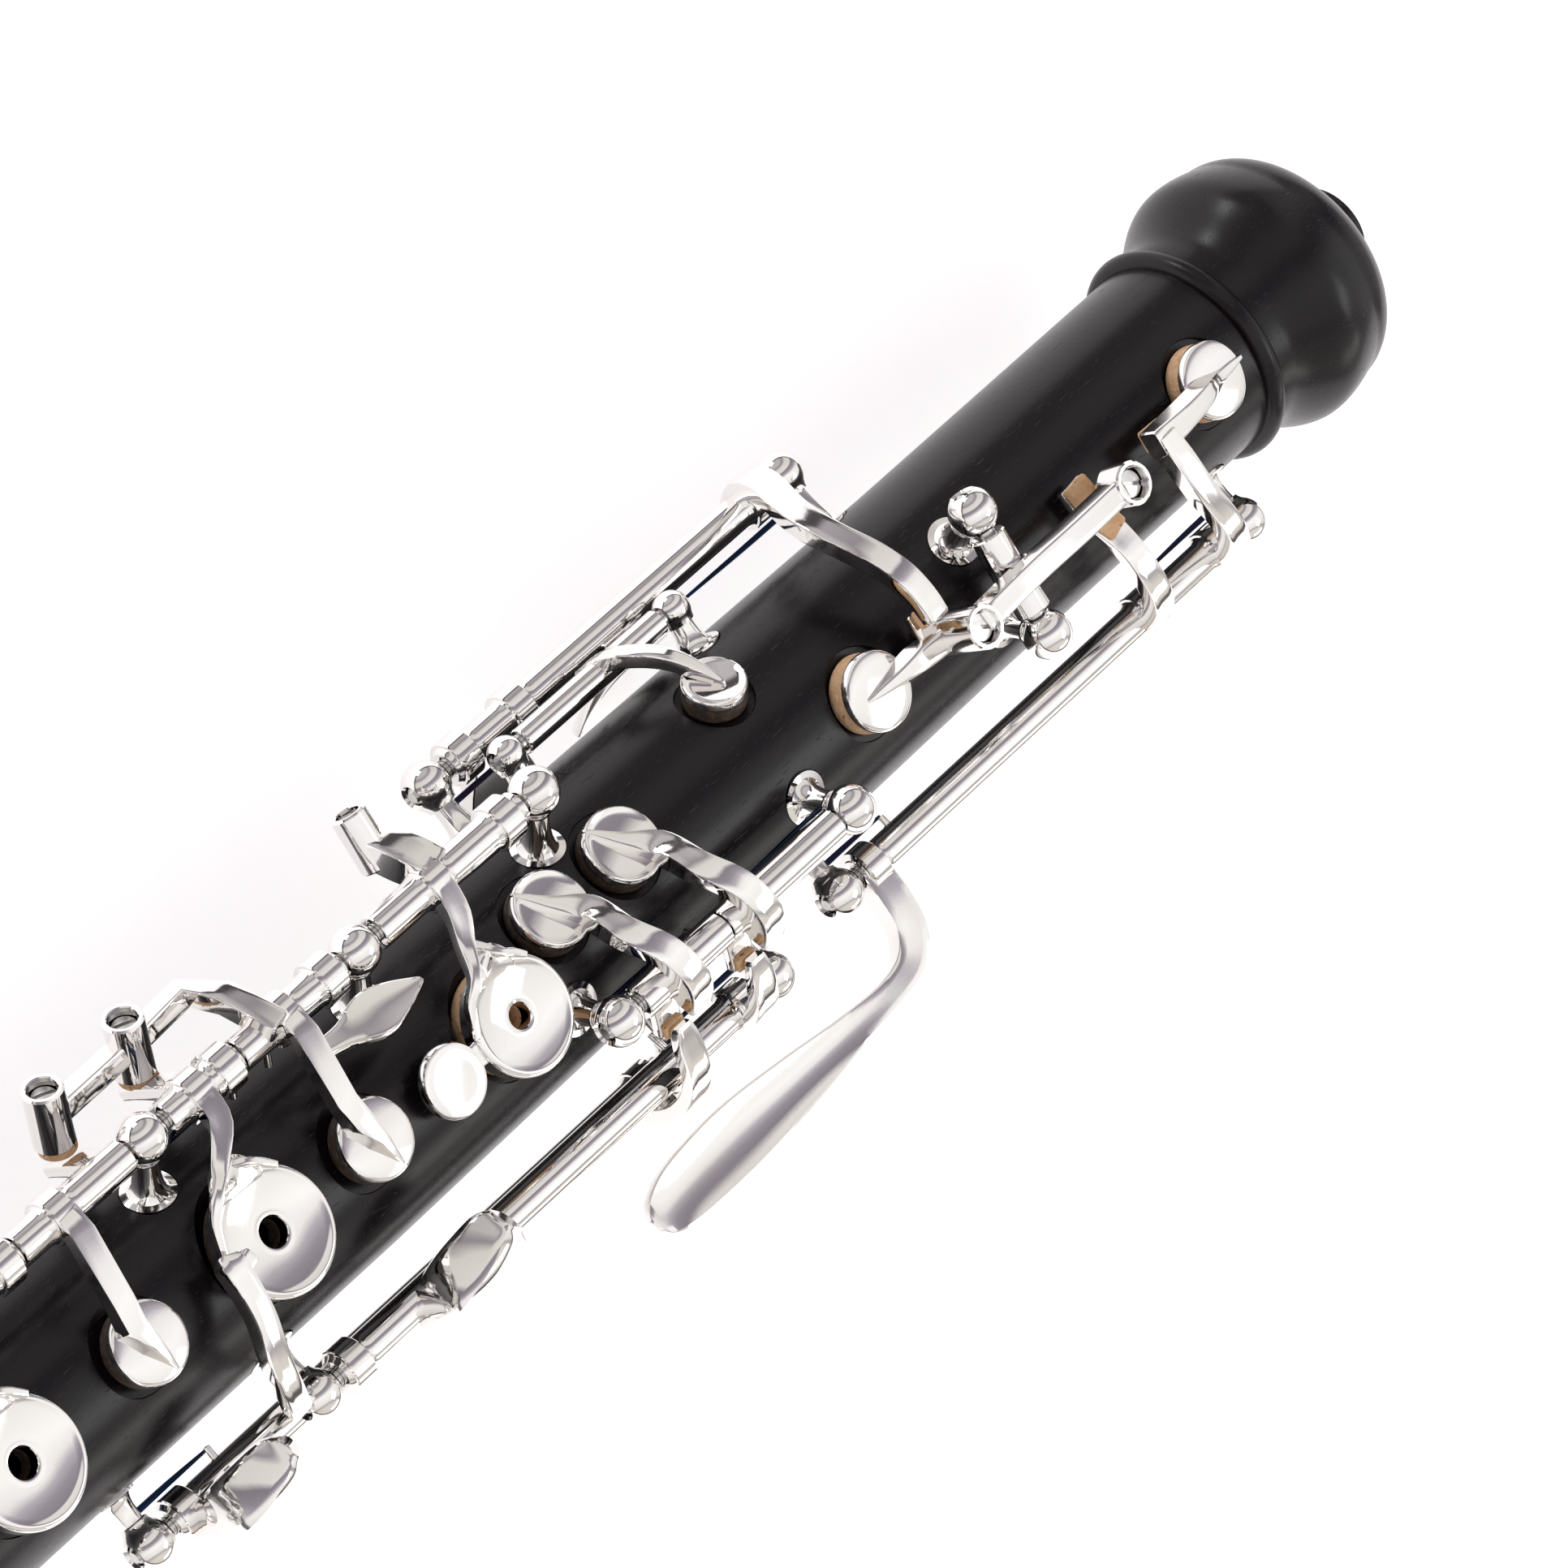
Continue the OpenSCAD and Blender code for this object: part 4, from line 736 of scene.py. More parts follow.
def barrelSolids(a, angle, bottom, top, facing, r):
    at = Matrix.Translation(spot(a, angle, bottom)) @ Matrix.Rotation(radians(-facing), 4, "X")
    tall = top - bottom
    inner = r - 0.55
    body = turned([(0, 0), (r - 0.15, 0), (r, 0.15), (r, tall - 0.2), (r - 0.15, tall), (inner + 0.1, tall),
                   (inner, tall - 0.1), (inner, tall - 1.9), (0, tall - 1.9)], at, 48)
    screw = turned([(0, tall - 2.1), (inner - 0.12, tall - 2.1), (inner - 0.12, tall - 1),
                    (inner - 0.3, tall - 0.8),
                    (0, tall - 0.72)], at, 36)
    slot = box(at @ Matrix.Rotation(radians(62), 4, "Z") @ Matrix.Translation((0, 0, tall - 0.8)),
               (0.42, 2 * r, 0.8))
    return body, screw, slot


def discSolid(a, angle, bottom, top, facing, r):
    at = Matrix.Translation(spot(a, angle, bottom)) @ Matrix.Rotation(radians(-facing), 4, "X")
    return turned([(0, 0), (r, 0), (r, top - bottom), (0, top - bottom)], at, 32)


def plateArm(seat, root, rise,
             line):  # a slim arm that forks into two ribs round the rim, with a thin web between
    angle, far = line
    a, up, r = seat[0], rise + 0.15, seat[3] + 0.45

    def rim(along, across, lift, width, thick,
            facing):  # a station beside the rim, in parts of the plate's radius
        side = across * r
        return [a + along * r, seat[1] + degrees(atan2(side, up + lift)), hypot(side, up + lift), width,
                thick, facing, 0.3]

    return [bar([[root, angle - 3, far + 0.7, 2.4, 2.1, angle],
                 [root + 0.5, angle - 12, far - 0.9, 2.1, 1.9, angle - 11],
                 [a + 0.2 * r, 31, up + 1.9, 1.7, 1.5, 29, 0.2], rim(0.5, 1.02, 0.7, 1.2, 1.3, 21),
                 rim(0.8, 0.68, 0.2, 1, 1.1, 12), rim(0.96, 0.25, -0.15, 0.8, 0.9, 5)], steps=4, corner=0.2),
            bar([[a + 0.15 * r, 32, up + 1.8, 1.1, 1, 31], rim(-0.15, 1.1, 0.6, 0.8, 0.9, 22),
                 rim(-0.42, 0.92, 0.2, 0.8, 0.8, 16), rim(-0.62, 0.74, 0, 0.6, 0.7, 12)], steps=4,
                corner=0.2),
            bar([[a + 0.2 * r, 31, up + 1.4, 1.5, 0.6, 30], rim(0.15, 1.2, 0.6, 2.8, 0.6, 25),
                 rim(0.08, 1.02, 0.2, 4.8, 0.6, 18), rim(0.08, 0.82, -0.2, 7, 0.6, 8)], steps=4, corner=0.15)]


def cupArm(seat, root, rise, line):
    angle, far = line
    a = seat[0]
    return [bar([[root - 0.2, angle - 2, far + 0.8, 2.5, 2.1, angle],
                 [root + 0.1, angle - 10, far, 2.4, 2, angle - 4],
                 [root + 0.9, 21, rise + 1.55, 2.3, 1.9, 26], [a + 0.95, 12, rise + 0.85, 2.9, 1.7, 10, 0.3],
                 [a + 0.3, 3, rise + 0.5, 2.3, 1.4, 3, 0.65], [a - 0.6, -11, rise - 0.15, 0.45, 0.9, -5, 1]],
                steps=1, corner=0.24)]


def lowCupArm(seat, root, top, line):
    way = 1 if line[0] > seat[1] else -1
    angle, far = line
    return [bar([[root, angle + way * 6, far + 0.6, 3, 2.1, angle],
                 [root, angle - way * 14, far + 1, 2.9, 2, angle - way * 14],
                 [(root + seat[0]) / 2, seat[1] + way * 38, 17.8, 2.7, 1.9, seat[1] + way * 38, 0.1],
                 [seat[0], seat[1] + way * 22, 15.6, 2.4, 1.7, seat[1] + way * 24, 0.4],
                 [seat[0], seat[1] + way * 6, top + 1.5, 1.6, 1.4, seat[1] + way * 8, 0.8],
                 [seat[0], seat[1] - way * 18, top + 0.9, 0.6, 0.7, seat[1] - way * 12, 1]], corner=0.25)]


def buildKey(name, spec):
    body = nodeName(name)
    line = hingeLine(body) if "line" not in spec else spec["line"]
    solids, cuts, screws, slots = list(spec.get("extra", [])), list(spec.get("cuts", [])), [], []
    if "tube" in spec:
        solids.append(tubeSolids(line, spec["tube"], spec["hubs"], spec.get("tubeR", key["tubeR"])))
        a0, a1 = spec["tube"]
        cuts.append(turned([(0, a0 - 1), (key["boreR"], a0 - 1), (key["boreR"], a1 + 1), (0, a1 + 1)],
                           lineMatrix(line), 48))
    for one in spec.get("cups", []):
        top = padTop(seats[one["seat"]], one["pad"])
        solids.append(cupSolid(seats[one["seat"]], top, one.get("thick", 1.2), one.get("dished", False)))
        if "arm" in one:
            solids += one["arm"](seats[one["seat"]], one["root"], top + one.get("rise", 0), line)
    for one in spec.get("plates", []):
        seat = seats[one["seat"]]
        top = padTop(seat, one["pad"])
        solids.append(plateSolid(seat, top, one["hole"], one.get("thick", 2.1)))
        solids += plateArm(seat, one["root"], top + 2, line)
    solids += [bar(rows) for rows in spec.get("arms", [])]
    solids += [bar(rows, corner=2) for rows in spec.get("pears", [])]
    solids += [bar(rows, steps=1) for rows in spec.get("crisp", [])]
    for one in spec.get("barrels", []):
        shell, screw, slot = barrelSolids(*one)
        solids.append(shell)
        screws.append(screw)
        slots.append(slot)
    for a, low in spec.get("catches", []):
        peg = [(0, 0), (key["catchR"], 0.15), (key["catchR"], line[1] - low), (0, line[1] - low)]
        solids.append(turned(peg, seatMatrix(a, line[0], low), 16))
    swing = swingMatrix(line, spec["open"]) if spec.get("open") else None
    piece = fuse(name, solids, cuts, swing)
    place(piece, body, silver, "silver", [body])
    if screws:
        place(fuse(name + "Screws", screws, slots, swing), body, steel, "steel")
    pads = [(one["seat"], one["pad"] - 0.02, one.get("hole", 0)) for one in spec.get("plates",
                                                                                     []) + spec.get("cups",
                                                                                                    [])]
    if pads:
        shapes = [padSolid(seats[seat], thick, hole) for seat, thick, hole in pads]
        slot = spec.get("padSlot", "pad_skin")
        place(fuse(name + "Pad", shapes, (), swing), body, padFinishes[slot], slot,
              [spec.get("padNode", body.replace("key", "pad"))])
    facings = [bar(rows, corner=0.12) for rows in spec.get("corks", [])]
    facings += [discSolid(*one) for one in spec.get("corkDiscs", [])]
    if facings:
        place(fuse(name + "Corks", facings, (), swing), body, cork, "cork")


# octave keys

sideTop = padTop(seats["side"], 2)
buildKey("sideOctaveKey", {
    "tube": (34.8, 90.3), "hubs": (36.6, 47.4, 89),
    "padSlot": "cork",
    "cups": [{"seat": "side", "pad": 2, "thick": 1.15}],
    "catches": [(84, 12.5), (44, 12.5)],
    "arms": [
        [[36.4, -78, 15.6, 2.5, 2.3, -74], [36.8, -60, 16.8, 2.5, 2.3, -58], [38.2, -44, 16.7, 2.4, 2.3, -42],
         [40.4, -24, 15.4, 2.4, 2.3, -24], [41.2, -6, 14.6, 2.5, 2.3, -4], [41.3, 1.5, 14.4, 2.4, 2.3, 0]],
        [[42.4, 0.6, 14.3, 3, 2.3, 0, 0.15], [37.5, 0.8, 14, 3, 2.2, 0, 0.45],
         [34, 1.2, 13.5, 2.9, 1.9, 0, 0.6],
         [30.5, 1.3, sideTop + 0.8, 2.1, 1.5, 0, 0.85], [27, 1.4, sideTop + 0.6, 0.5, 1.1, 0, 1]],
        [[47.4, -76, 15.6, 2.6, 2, -72], [48.2, -54, 16.4, 2.6, 2, -52], [49.6, -34, 15.2, 2.6, 1.7, -34],
         [50.2, -19, 13.2, 2.8, 1.2, -22], [51, -6, 12, 3, 1, -6], [51.4, 9, 11.8, 3, 1, 9]],
        [[89, -66, 15.6, 3.2, 2.6, 24], [89.2, -67.5, 18.6, 3.3, 2.6, 24], [89.8, -69.5, 21.8, 3.2, 2.6, 22],
         [91.8, -71, 24, 3, 2.4, 16], [95.4, -71.8, 24.8, 2.8, 2.2, 12],
         [101, -72, 24.9, 3.4, 2, 12, 0, 0.15],
         [109, -72, 24.9, 5.2, 1.8, 12, 0, 0.4], [117, -72, 24.9, 6.4, 1.6, 12, 0, 0.5],
         [124, -72, 25.1, 6, 1.5, 12, 0, 0.45], [127.2, -72, 25.4, 4.9, 1.3, 12, 0, 0.25],
         [128.7, -72, 25.6, 3.4, 1.1, 12], [129.3, -72, 25.7, 1.6, 0.9, 12]]],
    "corks": [[[50.2, -16, 13.5, 2.6, 0.8, -18], [51, -6, 12.95, 2.8, 0.8, -6], [51.4, 9, 12.8, 2.8, 0.8, 9]],
              [[41.6, 1.2, 12.6, 2.2, 1.5, 0], [39, 0.8, 12.6, 2.2, 1.5, 0]]]})

rockerTop = padTop(seats["rocker"], 2)
rockerCross = Matrix.Translation((-axle["a"], 4.5, axle["z"])) @ Matrix.Rotation(pi / 2, 4, "X")
buildKey("octaveRocker", {
    "line": (0, 0), "padNode": "octave_rocker_pad", "padSlot": "cork",
    "extra": [turned([(0, 0), (1.6, 0), (1.75, 0.15), (1.75, 8.25), (1.6, 8.4), (0, 8.4)], rockerCross, 40)],
    "cuts": [turned([(0, -1), (0.95, -1), (0.95, 10), (0, 10)], rockerCross, 40)],
    "cups": [{"seat": "rocker", "pad": 2, "thick": 1.15}],
    "barrels": [(49.4, 0, 14.9, 18, 0, 2.1), (72, -2, 11.9, 18, -2, 2.1)],
    "arms": [
        [[50.6, 0, 16.6, 2.7, 2.3, 0, 0.2], [57, 0, 16.9, 2.7, 2.3, 0, 0.2], [64, 0, 16.9, 2.7, 2.3, 0, 0.2],
         [71, -1.6, 16.4, 2.7, 2.3, 0, 0.2]],
        [[axle["a"], 0, 14.6, 3, 2.4, 0], [axle["a"] + 0.1, 0, 16.2, 3, 2.4, 0]],
        [[72, -1.8, 13.1, 2.4, 2, 0, 0.1], [75.8, -1, 13.2, 2.7, 2, 0, 0.25],
         [78.4, -0.8, 13.2, 2.7, 1.9, 0, 0.6],
         [83.4, -0.8, rockerTop + 1, 0.5, 1, 0, 1]],
        [[74.6, -1, 12.9, 2.2, 1.2, 4], [74.4, 6, 12.9, 2.4, 1.1, 6], [74.2, 13, 13, 2.4, 1, 12]]],
    "corks": [[[49.4, -3, 14.2, 2, 1.3, 0], [49.4, 3, 14.2, 2, 1.3, 0]]]})

buildKey("thumbOctaveKey", {
    "tube": (69.4, 114.3), "hubs": (71.2, 105, 112.6),
    "catches": [(84, 12.6), (98, 12.9)],
    "arms": [
        [[71.2, 118, 16.8, 2.2, 1.8, 110], [71.8, 100, 18.2, 3, 2.1, 98], [73.4, 84, 18.2, 3, 2.2, 82],
         [75.6, 66, 17, 2.8, 2.2, 66], [76, 50, 16.6, 2.7, 2, 50], [75, 30, 16.5, 2.7, 1.9, 28],
         [74.4, 19, 15.9, 2.6, 1.7, 16], [74.3, 9, 15.5, 2.5, 1.5, 8]],
        [[105, 104, 17.2, 4, 2, 106], [105, 126, 17, 5, 1.8, 126], [105, 148, 16, 9, 1.6, 150, 0, 0.3],
         [105, 170, 15, 11, 1.5, 168, 0, 0.3]]],
    "corks": [[[74.4, 14, 14.5, 2.2, 0.7, 12], [74.4, 8.5, 14.4, 2.2, 0.7, 8]]]})

thirdTop = padTop(seats["third"], 1.6)
buildKey("thirdOctaveKey", {
    "tube": (89.8, 109), "hubs": (), "tubeR": 1.3,
    "cups": [{"seat": "third", "pad": 1.6, "dished": True}],
    "arms": [
        [[98, 98, 14.9, 2, 1.6, 92], [97, 82, 15.4, 2, 1.6, 82], [95, 68, 14.5, 2, 1.5, 68],
         [93.8, 57, 13.2, 1.5, 1.3, 57, 0.5], [93.2, 46, thirdTop + 0.8, 0.5, 0.8, 46, 1]],
        [[91.4, 88, 13.8, 3, 1.2, 90], [91.5, 106, 13.1, 3.2, 1.2, 106], [92, 128, 13.4, 5, 1.3, 128],
         [93, 148, 14.4, 6, 1.3, 148, 0, 0.2]]]})

# trill keys and their levers


def trillKey(name, seatName, span, hub, needle):
    seat = seats[seatName]
    top = padTop(seat, 1.6)
    buildKey(name, {
        "tube": span, "hubs": (hub,),
        "cups": [{"seat": seatName, "pad": 1.6, "dished": True, "thick": 1.3}],
        "catches": [(needle, 13)],
        "arms": [
            [[seat[0] + 1.9, 37, top + 1.1, 0.4, 0.9, 23, 0.5], [seat[0], 25, top + 1.05, 1.4, 1.3, 22, 0.2],
             [seat[0] - 2.1, 13, top + 1.6, 2.7, 2, 18], [hub + 2.9, 1, 15.9, 2.6, 2.2, 8],
             [hub + 1.3, -10, 17.7, 2.7, 2.3, -10], [hub + 0.3, -21, 18.4, 2.7, 2.3, -30],
             [hub - 0.1, -31, 17.5, 2.7, 2.2, -84]],
            [[hub + 1.8, -26, 15.2, 3, 1, -30], [hub + 1.8, -40, 15.8, 3, 1, -40]]],
        "corks": [[[hub + 1.8, -36.5, 16.35, 2.4, 0.4, -38], [hub + 1.8, -40, 16.5, 2.4, 0.4, -40]]]})


trillKey("upperTrillKey", "upperTrill", (95.5, 111.3), 107.8, 105)
trillKey("lowerTrillKey", "lowerTrill", (111.5, 123), 117.9, 113)

buildKey("upperTrillLever", {
    "tube": (107.6, 164.4), "hubs": (109.4, 162.8),
    "catches": [(118, 13)],
    "arms": [
        [[109.4, -68, 17.8, 3.4, 1.6, -64], [109.4, -54, 18.6, 3, 1.5, -54],
         [109.4, -43, 17.9, 2.8, 1.3, -40],
         [109.4, -36.5, 17.3, 2, 1.1, -36]]],
    "pears": [[[153.6, -69, 17.2, 2.4, 2.2, -62], [152.6, -63, 17.8, 4.6, 4, -58],
               [150.8, -55, 18.4, 6.4, 5.4, -52],
               [148.6, -48, 18.8, 6.4, 5.4, -47], [146.8, -42, 19, 5.4, 4.4, -43],
               [146, -39.8, 19.1, 3.4, 2.8, -42]]]})

buildKey("lowerTrillLever", {
    "tube": (117.2, 183.4), "hubs": (119.6, 181.8),
    "catches": [(176, 13.2)],
    "arms": [
        [[119.6, -86, 17.4, 3.4, 1.6, -82], [119.6, -70, 19.4, 3, 1.5, -66],
         [119.6, -55, 19.5, 2.8, 1.4, -52],
         [119.6, -43, 17.9, 2.8, 1.3, -38], [119.6, -37, 17.2, 2, 1.1, -36]]],
    "pears": [[[181, -86, 17, 2.4, 2.2, -78], [180, -78, 17.8, 4.4, 3.8, -71],
               [178.6, -68, 18.6, 6.4, 5.4, -64],
               [176.6, -60, 19, 6.4, 5.4, -58], [174.9, -54.5, 19.1, 5.4, 4.4, -54],
               [174.1, -52.3, 19.2, 3.4, 2.8, -52]]]})
print("octave and trill keys made")

# left-hand finger keys

halfTop = padTop(seats["half"], 2.2)
buildKey("halfHoleKey", {
    "tube": (120.3, 139.4), "hubs": (122.6, 132),
    "padSlot": "cork", "plates": [{"seat": "half", "pad": 2.2, "hole": 1.15, "root": 132, "thick": 2.2}],
    "catches": [(130, 13.4)],
    "arms": [[[136.4, 0.4, halfTop + 1.2, 3, 1.2, 0], [138.6, 0, halfTop + 1.05, 2.2, 0.9, 0],
              [140.6, -1, halfTop + 1, 2.6, 0.8, 0]],
             [[131, 52, 18.6, 3.6, 2.8, 60], [131.8, 60, 19.4, 3.8, 3, 66], [132.8, 68, 20.4, 3, 2.8, 76]]],
    "barrels": [(133, 66, 18.6, 24.2, 88, 1.7)],
    "extra": [turned([(0, 0), (3.2, 0), (3.4, 0.2), (3.4, 0.8), (3.25, 1.1), (2.9, 1.2), (2, 1.12),
                      (0, 1.05)],
                     seatMatrix(141.8, -1, halfTop + 0.6), 64)]})

closed = -key["openAngle"]
buildKey("cKey", {
    "open": closed, "tube": (144.4, 157.6), "hubs": (146.2, 152),
    "cups": [{"seat": "c", "pad": 1.4, "arm": cupArm, "root": 152, "rise": 1.2}],
    "catches": [(154, 13.8)],
    "barrels": [(a, 75, 17.8, 24, 54, 1.9) for a in (162.6, 172.8)],
    "pears": [[[151.6, 36, 16.4, 1.8, 1.4, 36], [149.2, 34.4, 16.7, 2.4, 1.3, 34],
               [146, 33, 16.9, 4.6, 1.3, 33, 0, 0.25],
               [143.4, 32.2, 17, 3.6, 1.2, 32, 0, 0.2], [140.4, 31, 17.2, 0.7, 0.7, 31]]],
    "crisp": [[[153.6, 46, 19.2, 2.6, 2.1, 52], [154.6, 60, 20.9, 2.5, 2.1, 60],
               [155.8, 71, 21.3, 2.4, 2.1, 66],
               [162.6, 71.5, 20.8, 2.3, 2, 64], [172.8, 71.5, 20.6, 2.3, 2, 64]]],
    "corkDiscs": [(a, 75, 17.2, 17.8, 54, 1.75) for a in (162.6, 172.8)]})

buildKey("aKey", {
    "open": closed, "tube": (157.8, 166.9), "hubs": (159.6, 163.2),
    "plates": [{"seat": "a", "pad": 1.6, "hole": 1.4, "root": 163.2}], "catches": [(158.6, 13.8)],
    "arms": [[[162.6, 55, 17.6, 3, 1.5, 60], [162.6, 67, 16.7, 3, 1.3, 56], [162.6, 79, 16.3, 3.4, 1.1, 54]],
             [[168.8, 3, 13.5, 1.6, 1, 2], [171, 0, 13.6, 1.6, 1, 0]]],
    "pears": [[[171.2, 7, 14.1, 2.3, 2.1, 4], [171.3, 5, 14.2, 2.6, 2.3, 3], [171.4, -4, 14.2, 2.5, 2.2, -4],
               [171.6, -14, 14.4, 2.4, 2.1, -14], [172.2, -32, 14.9, 2.4, 2, -32],
               [171.5, -48, 15.4, 2.3, 1.9, -48],
               [170.8, -57, 15.6, 2.3, 2, -56]]]})

buildKey("bFlatKey", {
    "open": closed, "tube": (171.9, 185.6), "hubs": (180.6,),
    "cups": [{"seat": "bFlat", "pad": 1.4, "arm": cupArm, "root": 180.6, "rise": 1.2}],
    "arms": [[[173.4, 55, 17.4, 3, 1.5, 60], [173, 67, 16.1, 3, 1.3, 56], [172.8, 79, 15.5, 3.2, 1.1, 54]]]})

buildKey("gKey", {
    "open": closed, "tube": (185.8, 205.4), "hubs": (187.6, 195.4, 203.6),
    "plates": [{"seat": "g", "pad": 1.6, "hole": 1.4, "root": 195.4}], "catches": [(193, 13.8)]})

gSharpTop = padTop(seats["gSharp"], 1.6)
buildKey("gSharpKey", {
    "tube": (207.6, 225.4), "hubs": (214, 222),
    "cups": [{"seat": "gSharp", "pad": 1.6}], "catches": [(215, 13.8)],
    "arms": [
        [[214, -56, 17.8, 2.6, 2, -50], [214, -36, 18.3, 2.6, 2, -38], [214, -22, 16.5, 2.4, 1.8, -24, 0.3],
         [214, -10, 14.3, 1.8, 1.5, -10, 0.7], [214, 12, gSharpTop + 0.8, 0.5, 0.7, 8, 1]],
        [[222, -38, 18.1, 3.4, 1.8, -38], [222.4, -58, 18.8, 4.6, 1.7, -58],
         [224, -74, 18.8, 8, 1.6, -74, 0, 0.3],
         [226, -93, 18.2, 4, 1.4, -92]]]})
print("left-hand keys made")

# right-hand finger keys

buildKey("fSharpKey", {
    "open": closed, "tube": (264.6, 293.4), "hubs": (272, 287), "padNode": "f_sharp_pads",
    "plates": [{"seat": "fSharp", "pad": 1.6, "hole": 1.4, "root": 272}],
    "cups": [{"seat": "vent", "pad": 1.6, "arm": cupArm, "root": 287, "rise": 1.2}],
    "catches": [(276, 14.6)]})

for name, seatName, span, hole, root, needle in (("eKey", "e", (298.6, 320), 0, 306, 310),
                                                 ("dKey", "d", (320.3, 347.4), 1.4, 336, 336)):
    buildKey(name, {
        "open": closed, "tube": span, "hubs": (root, span[1] - 2.5),
        "plates": [{"seat": seatName, "pad": 1.6, "hole": hole, "root": root}],
        "catches": [(needle, 14.6)]})

fTop = padTop(seats["f"], 1.6)
buildKey("fKey", {
    "tube": (314.6, 347.4), "hubs": (321, 338),
    "cups": [{"seat": "f", "pad": 1.6}], "catches": [(332, 14.6)],
    "arms": [
        [[321, -59, 19, 3.4, 2, -54], [321, -42, 19.7, 4.4, 1.9, -42], [321, -30, 19.4, 7, 1.6, -30, 0, 0.3],
         [321, -20, 18.8, 3.4, 1.3, -20]],
        [[338, -42, 19, 2.6, 1.8, -48], [338, -58, 18.1, 2.4, 1.7, -66, 0.2],
         [338, -66, 15.9, 2, 1.5, -74, 0.7],
         [338, -80, fTop + 0.8, 0.5, 0.7, -78, 1]]]})

eFlatTop = padTop(seats["eFlat"], 1.6)
buildKey("eFlatKey", {
    "tube": (358.6, 379.4), "hubs": (362, 370),
    "cups": [{"seat": "eFlat", "pad": 1.6}], "catches": [(368, 14.6)],
    "arms": [
        [[362, 9, 19.2, 3.4, 2, 14], [362, 28, 20.1, 4, 1.9, 28], [362, 44, 20.3, 8, 1.7, 44, 0, 0.3],
         [361, 58, 20, 8, 1.6, 58, 0, 0.3], [360, 68, 19.6, 3.4, 1.3, 68]],
        [[370, 27, 19.2, 2.6, 1.8, 22], [370, 6, 18.7, 2.5, 1.8, 2, 0.1], [370, -6, 16.1, 2.1, 1.6, -10, 0.5],
         [370, -28, eFlatTop + 0.8, 0.5, 0.8, -24, 1]]]})

# low keys

buildKey("cSharpKey", {
    "open": closed, "tube": (386.6, 409.4), "hubs": (389, 400),
    "cups": [{"seat": "cSharp", "pad": 2, "thick": 1.5, "arm": lowCupArm, "root": 400}],
    "catches": [(396, 14.8)],
    "arms": [[[389, 97, 19, 3, 2, 92], [387, 80, 19.9, 3, 1.9, 80], [381, 66, 20.4, 3.4, 1.8, 66],
              [375, 54, 20.6, 6.5, 1.6, 54, 0, 0.3], [370, 47, 20.4, 3.4, 1.4, 47]]]})

buildKey("lowCKey", {
    "open": closed, "tube": (414.6, 441), "hubs": (418, 430),
    "cups": [{"seat": "lowC", "pad": 2, "thick": 1.5, "arm": lowCupArm, "root": 430}],
    "catches": [(428, 14.8)],
    "arms": [[[418, 82, 19.2, 3, 2, 86], [417, 97, 19.9, 2.8, 2, 96], [412, 105, 20.2, 2.4, 2, 104],
              [400, 106, 20.4, 2.4, 2, 105], [387, 104, 20.6, 2.4, 2, 103], [379, 96, 20.9, 3.4, 1.8, 96],
              [374, 86, 20.9, 6.5, 1.6, 86, 0, 0.3], [369, 79, 20.7, 3.4, 1.4, 79]]]})

opened = key["openAngle"]
buildKey("lowBKey", {
    "open": opened, "tube": (272.6, 475), "hubs": (276, 462),
    "cups": [{"seat": "lowB", "pad": 2, "thick": 1.5, "arm": lowCupArm, "root": 462}],
    "catches": [(460, 14.8)],
    "arms": [[[275.4, -101, 18.8, 3, 2, -94], [274.6, -88, 20.4, 2.8, 2, -88],
              [271, -76, 20.8, 2.8, 1.9, -78],
              [264, -75, 20.6, 3.6, 1.8, -77], [257, -77, 20.3, 7.5, 1.6, -79, 0, 0.3],
              [250, -76, 20, 4, 1.4, -77]]]})

buildKey("lowBFlatLever", {
    "open": opened, "tube": (275.6, 476), "hubs": (279, 473.6),
    "catches": [(462, 14.8)],
    "arms": [
        [[280, -124, 18.8, 3, 2, -118], [280, -106, 21, 3, 2, -106], [279, -91, 22.8, 3.2, 1.8, -90],
         [276, -76, 22.4, 4, 1.7, -74], [271, -62, 21, 7, 1.6, -60, 0, 0.3], [266, -53, 20, 3.4, 1.3, -52]],
        [[474, -124, 18.8, 3, 2, -118], [475.5, -106, 20, 3, 1.9, -106], [482, -100, 21.4, 3, 1.9, -100],
         [492, -99, 21.8, 3.2, 1.8, -99], [502, -100, 21.4, 3.4, 1.6, -100]]]})

buildKey("lowBFlatKey", {
    "open": opened, "tube": (508.6, 531.4), "hubs": (511, 520),
    "cups": [{"seat": "bell", "pad": 2, "thick": 1.5, "arm": lowCupArm, "root": 520}],
    "catches": [(518, 15)],
    "arms": [[[510, -124, 18.6, 3, 2, -118], [509, -108, 19.6, 3, 1.7, -106],
              [505, -101, 19.4, 3.2, 1.5, -100],
              [499, -100, 19.1, 3.4, 1.3, -100]]],
    "corks": [[[499.4, -100, 20.1, 2.6, 0.7, -100], [502.4, -100.6, 20.3, 2.6, 0.7, -100]]]})
print("right-hand and low keys made")

# thumb rest


